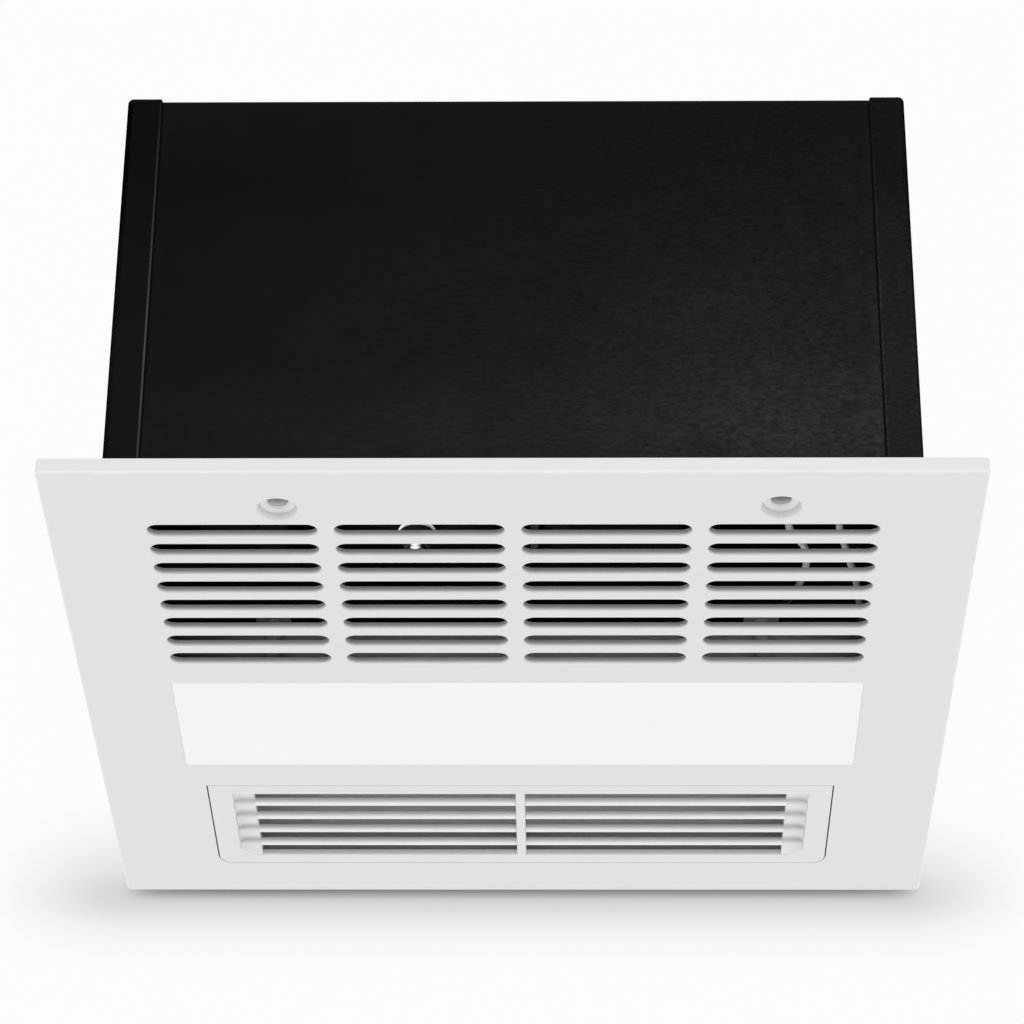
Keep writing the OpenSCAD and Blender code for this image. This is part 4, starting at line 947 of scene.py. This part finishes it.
def build_louvre_frame():
    pc = Piece("louvre_frame_moulding")
    at = lambda u, v, z: (u, LV_Y + v, z)
    # outside, from the face up to the back
    rows, norms = [], []
    e = 0.12
    for off, z, k in ((-e, FACE, 0.0), (-e * 0.3, FACE + e * 0.3, 0.7), (0, FACE + e, 1.0)):
        q, m = louvre_outline(z, off)
        rows.append([at(x, y, z) for x, y in q])
        norms.append([(a * k, b * k, -(1 - k * k) ** 0.5) for a, b in m])
    for z in (-5.6, -3.0, 0.0, 4.5, 8.0):
        q, m = louvre_outline(z)
        rows.append([at(x, y, z) for x, y in q])
        norms.append([(a, b, (z - LV_Z) / DRUM if b < -0.5 else 0) for a, b in m])
    # the two near corners are sharp, so each wall has its own normals there
    def split(lo, hi, nrm):
        rr_ = [[row[i] for i in range(lo, hi)] for row in rows]
        nn_ = [[nrm(r, i) for i in range(lo, hi)] for r in range(len(rows))]
        pc.grid(rr_, nn_, False)
    k_of = [0.0, 0.7, 1.0, 1, 1, 1, 1, 1]
    split(0, 2, lambda r, i: (0, -k_of[r], -(1 - k_of[r] ** 2) ** 0.5 if r < 3 else (rows[r][0][2] - LV_Z) / DRUM))
    split(1, 20, lambda r, i: (k_of[r] if i == 1 else norms[r][i][0], 0 if i == 1 else norms[r][i][1], norms[r][i][2] if r < 3 else 0))
    last = [[row[-1], row[0]] for row in rows]
    pc.grid(last, [[(-k_of[r], 0, norms[r][-1][2] if r < 3 else 0)] * 2 for r in range(len(rows))], False)
    darken_ends(pc, 0, 3)
    face_loops = [[(x, y) for x, y, z in [(a, b - LV_Y, c) for a, b, c in rows[0]]]]
    top_loops = [[(a, b - LV_Y) for a, b, c in rows[-1]]]
    up, down = (0, 0, 1), (0, 0, -1)
    FL, TOP = -4.5, -1.5            # floor of the lands, and the back of the lands
    for s in (-1, 1):
        # recess walls
        x0, x1, xo = 2.35, 138.8, LAND
        yb, lip = -32.7, -4.7           # near wall, and the height where the hollow behind the far lip starts
        hb = LW - 8
        pts = [(x0, yb), (x1, yb), (x1, 26.0), (x1 - 6.5, 32.5), (x0, 32.5)]
        n_in = [(0, 1), (-1, 0), unit((-1, -1)), (0, -1), (1, 0)]     # of the wall that starts at each point
        rf, rh = 0.5, 1.6
        m = len(pts)
        # offset of each corner where two walls meet, so that the fillet stays even
        def mitre(i, off):
            a, b = np.array(n_in[i - 1]), np.array(n_in[i])
            w = (a + b) / (1 + np.dot(a, b))
            return (pts[i][0] + w[0] * off, pts[i][1] + w[1] * off)
        for i in range(m):
            j = (i + 1) % m
            nx, ny = n_in[i]
            rr_, nn_ = [], []
            for off, z, no, nz in fillet(0, FACE, rf, rh, 1, 6) + [(0, lip if i == 3 else FL, 1, 0)]:
                a, b = mitre(i, off), mitre(j, off)
                rr_.append([at(s * a[0], a[1], z), at(s * b[0], b[1], z)])
                nn_.append([(s * nx * no, ny * no, nz)] * 2)
            pc.grid(rr_, nn_, False)
        face_loops.append([(s * mitre(i, -rf)[0], mitre(i, -rf)[1]) for i in range(m)])
        # lands, with an edge over the opening
        g = 0.15
        steps, sn = land_outline()
        rows, norms = [], []
        for x, k in ((xo + 0.0, 1.0), (xo + 0.15, 1.0), (134.0, 1.0), (135.6, 0.96), (136.8, 0.82), (137.8, 0.6), (x1 + 0.1, 0.35)):
            rows.append([(s * x, LV_Y + y, FACE + min(h, 0.25 + (h - 0.25) * k)) for y, h in steps])
            norms.append([(0, a, b) for a, b in sn])
        pc.grid(rows, norms, False, 2)
        pc.grid([[(s * xo, LV_Y + y, FACE + h) for y, h in steps], [(s * xo, LV_Y + y, TOP) for y, h in steps]],
                [[(-s, 0, 0)] * len(steps)] * 2, False, 1)
        # near wall and the rib, above the land's floor
        pc.grid([[at(s * x0, yb, FL), at(s * (xo + g), yb, FL)], [at(s * x0, yb, TOP), at(s * xo, yb, TOP)]], [[(0, 1, 0)] * 2] * 2, False)
        pc.grid([[at(s * x0, yb, FL), at(s * x0, 32.5, FL)], [at(s * x0, yb, TOP), at(s * x0, 32.5, TOP)]], [[(s, 0, 0)] * 2] * 2, False, 1)
        # the far lip: low, with the hollow behind it
        pc.grid([[at(s * x0, 32.5, lip), at(s * (xo + g), 32.5, lip)], [at(s * x0, 37.5, lip), at(s * xo, 37.5, lip)]], [[(0, 0, 1)] * 2] * 2, False, 1)
        pc.grid([[at(s * x0, 37.5, lip), at(s * xo, 37.5, lip)], [at(s * x0, 37.5, TOP), at(s * xo, 37.5, TOP)]], [[(0, -1, 0)] * 2] * 2, False, 1)
        for x, d in ((x0, 1), (xo, -1)):
            pc.grid([[at(s * x, 32.5, lip), at(s * x, 37.5, lip)], [at(s * x, 32.5, TOP), at(s * x, 37.5, TOP)]], [[(s * d, 0, 0)] * 2] * 2, False, 1)
        # hollow back
        h = [(x0, -37.5), (hb, -37.5), (hb, 37.5), (x0, 37.5)]
        hn = [(0, 1), (-1, 0), (0, -1), (1, 0)]
        for i in range(4):
            j = (i + 1) % 4
            pc.grid([[at(s * h[i][0], h[i][1], TOP), at(s * h[j][0], h[j][1], TOP)], [at(s * h[i][0], h[i][1], 8), at(s * h[j][0], h[j][1], 8)]],
                    [[(s * hn[i][0], hn[i][1], 0)] * 2] * 2, False, 1)
        back = [(x0, -37.5), (hb, -37.5), (hb, 37.5), (xo, 37.5), (xo, yb), (x0, yb)]
        pc.fill([[(s * a, b) for a, b in back]], lambda u, v: at(u, v, TOP), up)
        top_loops.append([(s * a, b) for a, b in h])
    pc.fill(face_loops, lambda u, v: at(u, v, FACE), down)
    pc.fill(top_loops, lambda u, v: at(u, v, 8), up)
    return pc.make([MAT["louvre_white"], LOUVRE_INNER, LAND_WHITE, GAP_PAINTED_SHADE], "louvre", ["louvre_frame"])


# ------------------------------------------------------------------ housing
def build_wrap():
    """One sheet wrapped over the near side, the top and the far side, with bends of 2.5 mm."""
    pc = Piece("housing_wrap_sheet")
    hy, hz, t = 183.0, 200.8, 1.0
    X = 173.2

    def along(pts, nrm):
        rows = [[(x, y, z) for y, z in pts] for x in np.linspace(-X, X, 9)]
        norms = [[(0, a, b) for a, b in nrm]] * 9
        pc.grid(rows, norms, False)

    def bend(cy, cz, r, a0, a1, sign=1, n=8):
        a = [math.radians(a0 + (a1 - a0) * i / n) for i in range(n + 1)]
        return [(cy + r * math.cos(t_), cz + r * math.sin(t_)) for t_ in a], [(sign * math.cos(t_), sign * math.sin(t_)) for t_ in a]

    for r, sign in ((2.5, 1), (1.5, -1)):
        far, fn = bend(hy - 2.5, hz - 2.5, r, 0, 90, sign)
        near, nn = bend(-hy + 2.5, hz - 2.5, r, 90, 180, sign)
        d = 2.5 - r
        z0 = 0.0 if sign > 0 else t
        along([(hy - d, z0)] + far + near + [(-hy + d, z0)], [(sign, 0)] + fn + nn + [(-sign, 0)])
    # feet turned in
    for y0, y1 in ((-183.0, -163.0), (175.0, 183.0)):
        s = 1 if y1 > 0 else -1
        tip = y0 if s > 0 else y1
        root_o, root_i = (y1, y1 - t) if s > 0 else (y0, y0 + t)
        along([(root_o, 0), (tip, 0)], [(0, -1)] * 2)
        along([(root_i, t), (tip, t)], [(0, 1)] * 2)
        along([(tip, 0), (tip, t)], [(-s, 0)] * 2)
    # ends of the sheet
    for s in (-1, 1):
        for r0, quad in ((0, [(hy - t, t, hy, hz - 2.5)]), (1, [(-hy, t, -hy + t, hz - 2.5)])):
            for ya, za, yb, zb in quad:
                pc.face([(s * X, ya, za), (s * X, yb, za), (s * X, yb, zb), (s * X, ya, zb)], (s, 0, 0))
        pc.face([(s * X, -hy + 2.5, hz - t), (s * X, hy - 2.5, hz - t), (s * X, hy - 2.5, hz), (s * X, -hy + 2.5, hz)], (s, 0, 0))
        pc.face([(s * X, -hy, 0), (s * X, -163, 0), (s * X, -163, t), (s * X, -hy, t)], (s, 0, 0))
        pc.face([(s * X, 175, 0), (s * X, hy, 0), (s * X, hy, t), (s * X, 175, t)], (s, 0, 0))
        for cy, a0 in ((hy - 2.5, 0), (-hy + 2.5, 90)):
            po, _ = bend(cy, hz - 2.5, 2.5, a0, a0 + 90)
            pi, _ = bend(cy, hz - 2.5, 1.5, a0, a0 + 90)
            for i in range(8):
                pc.face([(s * X, *po[i]), (s * X, *po[i + 1]), (s * X, *pi[i + 1]), (s * X, *pi[i])], (s, 0, 0))
    return pc.make([MAT["housing_black"]], "housing", ["housing_wrap"])


def build_end_plate(s):
    """An end plate with its flanges folded over the wrapped sheet. s is -1 for the left one and 1 for the right."""
    pc = Piece("end_plate_shell_left" if s < 0 else "end_plate_shell_right")
    t, edge, R = 1.0, HX - 15.5, 2.6
    rp = 2.6                                   # corner radius of the path, seen from the side
    # path of the outside, from the near foot over the top to the far foot: (y, z) and its outward normal
    path = [(-HY, 0.0, -1, 0)]
    for k in range(9):
        a = math.radians(180 - 90 * k / 8)
        path.append((-HY + rp + rp * math.cos(a), HZ - rp + rp * math.sin(a), math.cos(a), math.sin(a)))
    for k in range(9):
        a = math.radians(90 - 90 * k / 8)
        path.append((HY - rp + rp * math.cos(a), HZ - rp + rp * math.sin(a), math.cos(a), math.sin(a)))
    path.append((HY, 0.0, 1, 0))
    # section rows: (x, how far inside the path, normal along x, normal outwards)
    n = 8
    flat = [(edge + 0.8, 0, 0, 1), (HX - R, 0, 0, 1)]
    outer = [(HX - R, 0, 0, 1)] + [
        (HX - R + R * math.sin(math.pi / 2 * i / n), R - R * math.cos(math.pi / 2 * i / n), math.sin(math.pi / 2 * i / n), math.cos(math.pi / 2 * i / n))
        for i in range(1, n + 1)]
    ri = R - t
    inner = [(HX - t - ri + ri * math.sin(math.pi / 2 * i / n), R - ri * math.cos(math.pi / 2 * i / n), -math.sin(math.pi / 2 * i / n), -math.cos(math.pi / 2 * i / n))
             for i in range(n, -1, -1)] + [(edge + 0.15, t, 0, -1)]
    q = 0.8                                    # rounding of the cut edge
    lip = [(edge + 0.15, t, -0.3, -1), (edge, t - 0.15, -1, -0.2)] + [
        (edge + q - q * math.cos(math.pi / 2 * i / 6), q - q * math.sin(math.pi / 2 * i / 6), -math.cos(math.pi / 2 * i / 6), math.sin(math.pi / 2 * i / 6))
        for i in range(7)]

    def sweep(sec, mat=0):
        rows, norms = [], []
        for x, d, nx, no in sec:
            rows.append([(s * x, y - ny * d, z - nz * d) for y, z, ny, nz in path])
            norms.append([unit((s * nx, ny * no, nz * no)) for y, z, ny, nz in path])
        pc.grid(rows, norms, False, mat)

    sweep(flat)
    sweep(outer, 1)
    sweep(inner)
    sweep(lip, 2)
    # the flat plate, inside the bends, with its holes
    def plate_loop(d):
        q = [(y - ny * d, z - nz * d) for y, z, ny, nz in path]
        return q
    holes = [(y, z, 2.6) for y in (-130, 130) for z in (25, 165)]
    if s > 0:
        holes += [(-150, 95, 11.0), (-105, 70, 2.0)]
    loops = []
    for y, z, r in holes:
        p, m = circle(y, z, r, 40 if r > 5 else 24)
        loops.append(p)
        pc.grid([[(s * HX, a, b) for a, b in p], [(s * (HX - t), a, b) for a, b in p]], [[(0, -a, -b) for a, b in m]] * 2, True)
    pc.fill([plate_loop(R)] + loops, lambda u, v: (s * HX, u, v), (s, 0, 0))
    pc.fill([plate_loop(R)] + loops, lambda u, v: (s * (HX - t), u, v), (-s, 0, 0))
    # the foot of the plate, closed at the ceiling plane, and its turned-in feet
    z0 = 0.0
    for y0, y1 in ((-HY + R, HY - R),):
        pc.face([(s * HX, y0, z0), (s * HX, y1, z0), (s * (HX - t), y1, z0), (s * (HX - t), y0, z0)], (0, 0, -1))
    for k in (0, -1):
        y, z, ny, nz = path[k]
        sec = flat[:1] + outer + inner + lip[1:-1]
        pc.fill([[(x, y - ny * d) for x, d, _, _ in sec]], lambda u, v: (s * u, v, 0.0), (0, 0, -1))
    for y0, y1 in ((-159.0, 92.0), (162.0, 174.0)):
        a, b = sorted((s * (HX - 8), s * (HX - t + 0.1)))
        solid_box(pc, a, b, y0, y1, 0.0, 1.0, 0.2)
    node = "end_plate_left" if s < 0 else "end_plate_right"
    return pc.make([PLATE_BLACK, BEND_BLACK, LIP_BLACK], "housing", [node])


def build_rivets():
    """Domed blind rivets through the end plates' flanges."""
    pc = Piece("flange_rivets")
    dome = [(3.2, 0.0, 1, 0.1), (3.15, 0.3, 1, 0.4), (2.7, 0.75, 0.7, 1), (2.0, 1.1, 0.35, 1), (1.35, 1.25, 0.1, 1)]
    cup = [(1.35, 1.25, -0.6, 1), (1.2, 0.95, -1, 0.3), (0.75, 0.8, -0.3, 1), (0.01, 0.78, 0, 1)]
    tail = [(1.6, 0.0, 1, 0), (1.6, -3.6, 1, 0)]
    for s in (-1, 1):
        for y in (-140, 0, 140):
            f = lambda u, v, w, d, s=s, y=y: (u, v, w) if d else (s * (HX - 8) + u, y + v, HZ + w)
            revolve(pc, [dome, cup, tail], f, 28)
        for z in (60, 160):
            f = lambda u, v, w, d, s=s, z=z: (u, w, v) if d else (s * (HX - 8) + u, HY + w, z + v)
            revolve(pc, [dome, cup, tail], f, 28)
    return pc.make([PLATE_BLACK], "housing", ["end_plate_rivets"])


# ------------------------------------------------------------------ leads inside
def catmull(points, m):
    p = [np.array(q, float) for q in points]
    out = []
    for i in range(len(p) - 1):
        a, b, c, d = p[max(i - 1, 0)], p[i], p[i + 1], p[min(i + 2, len(p) - 1)]
        for k in range(m):
            t = k / m
            out.append(0.5 * (2 * b + (c - a) * t + (2 * a - 5 * b + 4 * c - d) * t * t + (3 * b - a - 3 * c + d) * t ** 3))
    out.append(p[-1])
    return out


def tube(pc, points, r, m=6, k=14, mat=0):
    q = catmull(points, m)
    tan = [unit(q[min(i + 1, len(q) - 1)] - q[max(i - 1, 0)]) for i in range(len(q))]
    side = unit(np.cross(tan[0], (0, 0, 1) if abs(tan[0][2]) < 0.9 else (1, 0, 0)))
    rows, norms = [], []
    for c, t in zip(q, tan):
        side = unit(side - np.dot(side, t) * t)
        b = np.cross(t, side)
        n = [math.cos(2 * math.pi * i / k) * side + math.sin(2 * math.pi * i / k) * b for i in range(k)]
        rows.append([c + r * v for v in n])
        norms.append(n)
    pc.grid(rows, norms, True, mat)
    for c, row, d in ((q[0], rows[0], -tan[0]), (q[-1], rows[-1], tan[-1])):
        for i in range(k):
            pc.face([c, row[i], row[(i + 1) % k]], d, mat)


def build_leads():
    pc = Piece("supply_leads")
    tube(pc, [[134, -128, 64], [134, -127.5, 57], [132, -121, 48], [125, -108, 38], [122, -90, 33], [129.9, -73, 32], [131.4, -56, 32],
              [128.8, -38, 32], [124, -23, 32], [121, -10.8, 33]], 1.7)
    tube(pc, [[152, -128, 64], [152, -127.5, 57], [150, -120, 47], [145.5, -107, 37], [144.7, -90, 33], [148.3, -73, 32], [152.1, -56, 32],
              [155.8, -38, 32], [158.0, -20, 33], [161, 10, 36], [161, 45, 42], [161, 80, 50], [161, 108, 56], [161, 124, 58]], 1.7)
    pc.make([MAT["lead_white"]], "housing", ["lead_wires"])
    pc = Piece("motor_leads")
    tube(pc, [[-30, -50, 151.7], [-18, -46, 153], [0, -42, 152], [16, -40, 148], [28.2, -40, 150]], 1.3)
    tube(pc, [[51.8, -40, 150], [66, -42, 152], [90, -48, 150], [112, -52, 148], [128, -52, 143], [140.2, -54, 136]], 1.3)
    pc.make([MAT["lead_white"]], "housing", ["fan_leads"])


def build_floor(right, up, fwd, eye, step):
    """A clear card far behind the object, square to the picture, which carries only the soft shadow under the far edge."""
    far = 5.2
    k = far * step                                # one step of the picture at the card
    mid = np.array([0.0, 0.1995, -0.0074]) - eye
    c = eye + mid * (far / float(np.dot(mid, fwd)))
    me = bpy.data.meshes.new("shade_card")
    me.from_pydata([(-0.56, -0.10, 0), (0.56, -0.10, 0), (0.56, 0.09, 0), (-0.56, 0.09, 0)], [], [(0, 1, 2, 3)])
    me.materials.append(floor_shade("floor_shade"))
    me.update()
    o = bpy.data.objects.new("shade_card", me)
    scene.collection.objects.link(o)
    z = np.cross(right, -up)
    mw = Matrix.Identity(4)
    for i in range(3):
        mw[i][0], mw[i][1], mw[i][2], mw[i][3] = right[i] * k * 1000, -up[i] * k * 1000, z[i] * k * 1000, c[i]
    o.matrix_world = mw
    o.visible_shadow = False
    o.visible_diffuse = False
    o.visible_glossy = False


build_panel()
build_panel_screws()
build_lens()
build_slats()
build_louvre_frame()
build_wrap()
build_end_plate(-1)
build_end_plate(1)
build_rivets()
build_leads()


# ------------------------------------------------------------------ camera
cam = bpy.data.cameras.new("photo_camera")
cam.sensor_width = 36.0
cam.sensor_fit = "HORIZONTAL"
cam.lens = 136.78
cam.clip_start, cam.clip_end = 0.05, 50.0
cam_ob = bpy.data.objects.new("photo_camera", cam)
scene.collection.objects.link(cam_ob)
right = unit((0.999873, 0.014165, 0.007263))
fwd = unit((-0.015877, 0.854437, 0.519312))
upv = unit(np.cross(right, fwd))
fwd = unit(np.cross(upv, right))
m = Matrix.Identity(4)
for i in range(3):
    m[i][0], m[i][1], m[i][2] = right[i], upv[i], -fwd[i]
m[0][3], m[1][3], m[2][3] = 0.026032, -1.580266, -0.865527
cam_ob.matrix_world = m
scene.camera = cam_ob
build_floor(right, upv, fwd, np.array([0.026032, -1.580266, -0.865527]), 36.0 / 136.78 / 1024)

# ------------------------------------------------------------------ light
world = bpy.data.worlds.new("studio")
scene.world = world
world.use_nodes = True
wt = world.node_tree
wt.nodes.clear()
wo = wt.nodes.new("ShaderNodeOutputWorld")
wb = wt.nodes.new("ShaderNodeBackground")
wb.inputs["Color"].default_value = (0.973, 0.973, 0.973, 1)
wb.inputs["Strength"].default_value = 1.0
wt.links.new(wb.outputs["Background"], wo.inputs["Surface"])


def area(name, loc, target, size, power, spread=180.0):
    li = bpy.data.lights.new(name, "AREA")
    li.shape = "RECTANGLE"
    li.size, li.size_y = size
    li.energy = power
    li.spread = math.radians(spread)
    o = bpy.data.objects.new(name, li)
    scene.collection.objects.link(o)
    o.location = loc
    d = Vector(target) - Vector(loc)
    o.rotation_euler = d.to_track_quat("-Z", "Y").to_euler()
    o.visible_camera = False
    return o


# a small lamp under the blower's nut, which is the bright spot seen through the slots
area("nut_lamp", (-0.052, -0.066, 0.012), (-0.0455, -0.0590, 0.050), (0.010, 0.010), 0.0038, 70.0)
# and two faint ones under the light box's ears
for lx in (-0.112, 0.112):
    area("ear_lamp_left" if lx < 0 else "ear_lamp_right", (lx, -0.050, 0.0), (lx, -0.031, 0.020), (0.016, 0.004), 0.00013, 70.0)
area("soft_key", (0.22, -0.95, 0.50), (0.12, -0.18, 0.06), (0.5, 0.35), 0.5)

scene.view_settings.view_transform = "Standard"
scene.view_settings.look = "None"
scene.view_settings.exposure = 0.0
scene.view_settings.gamma = 1.0
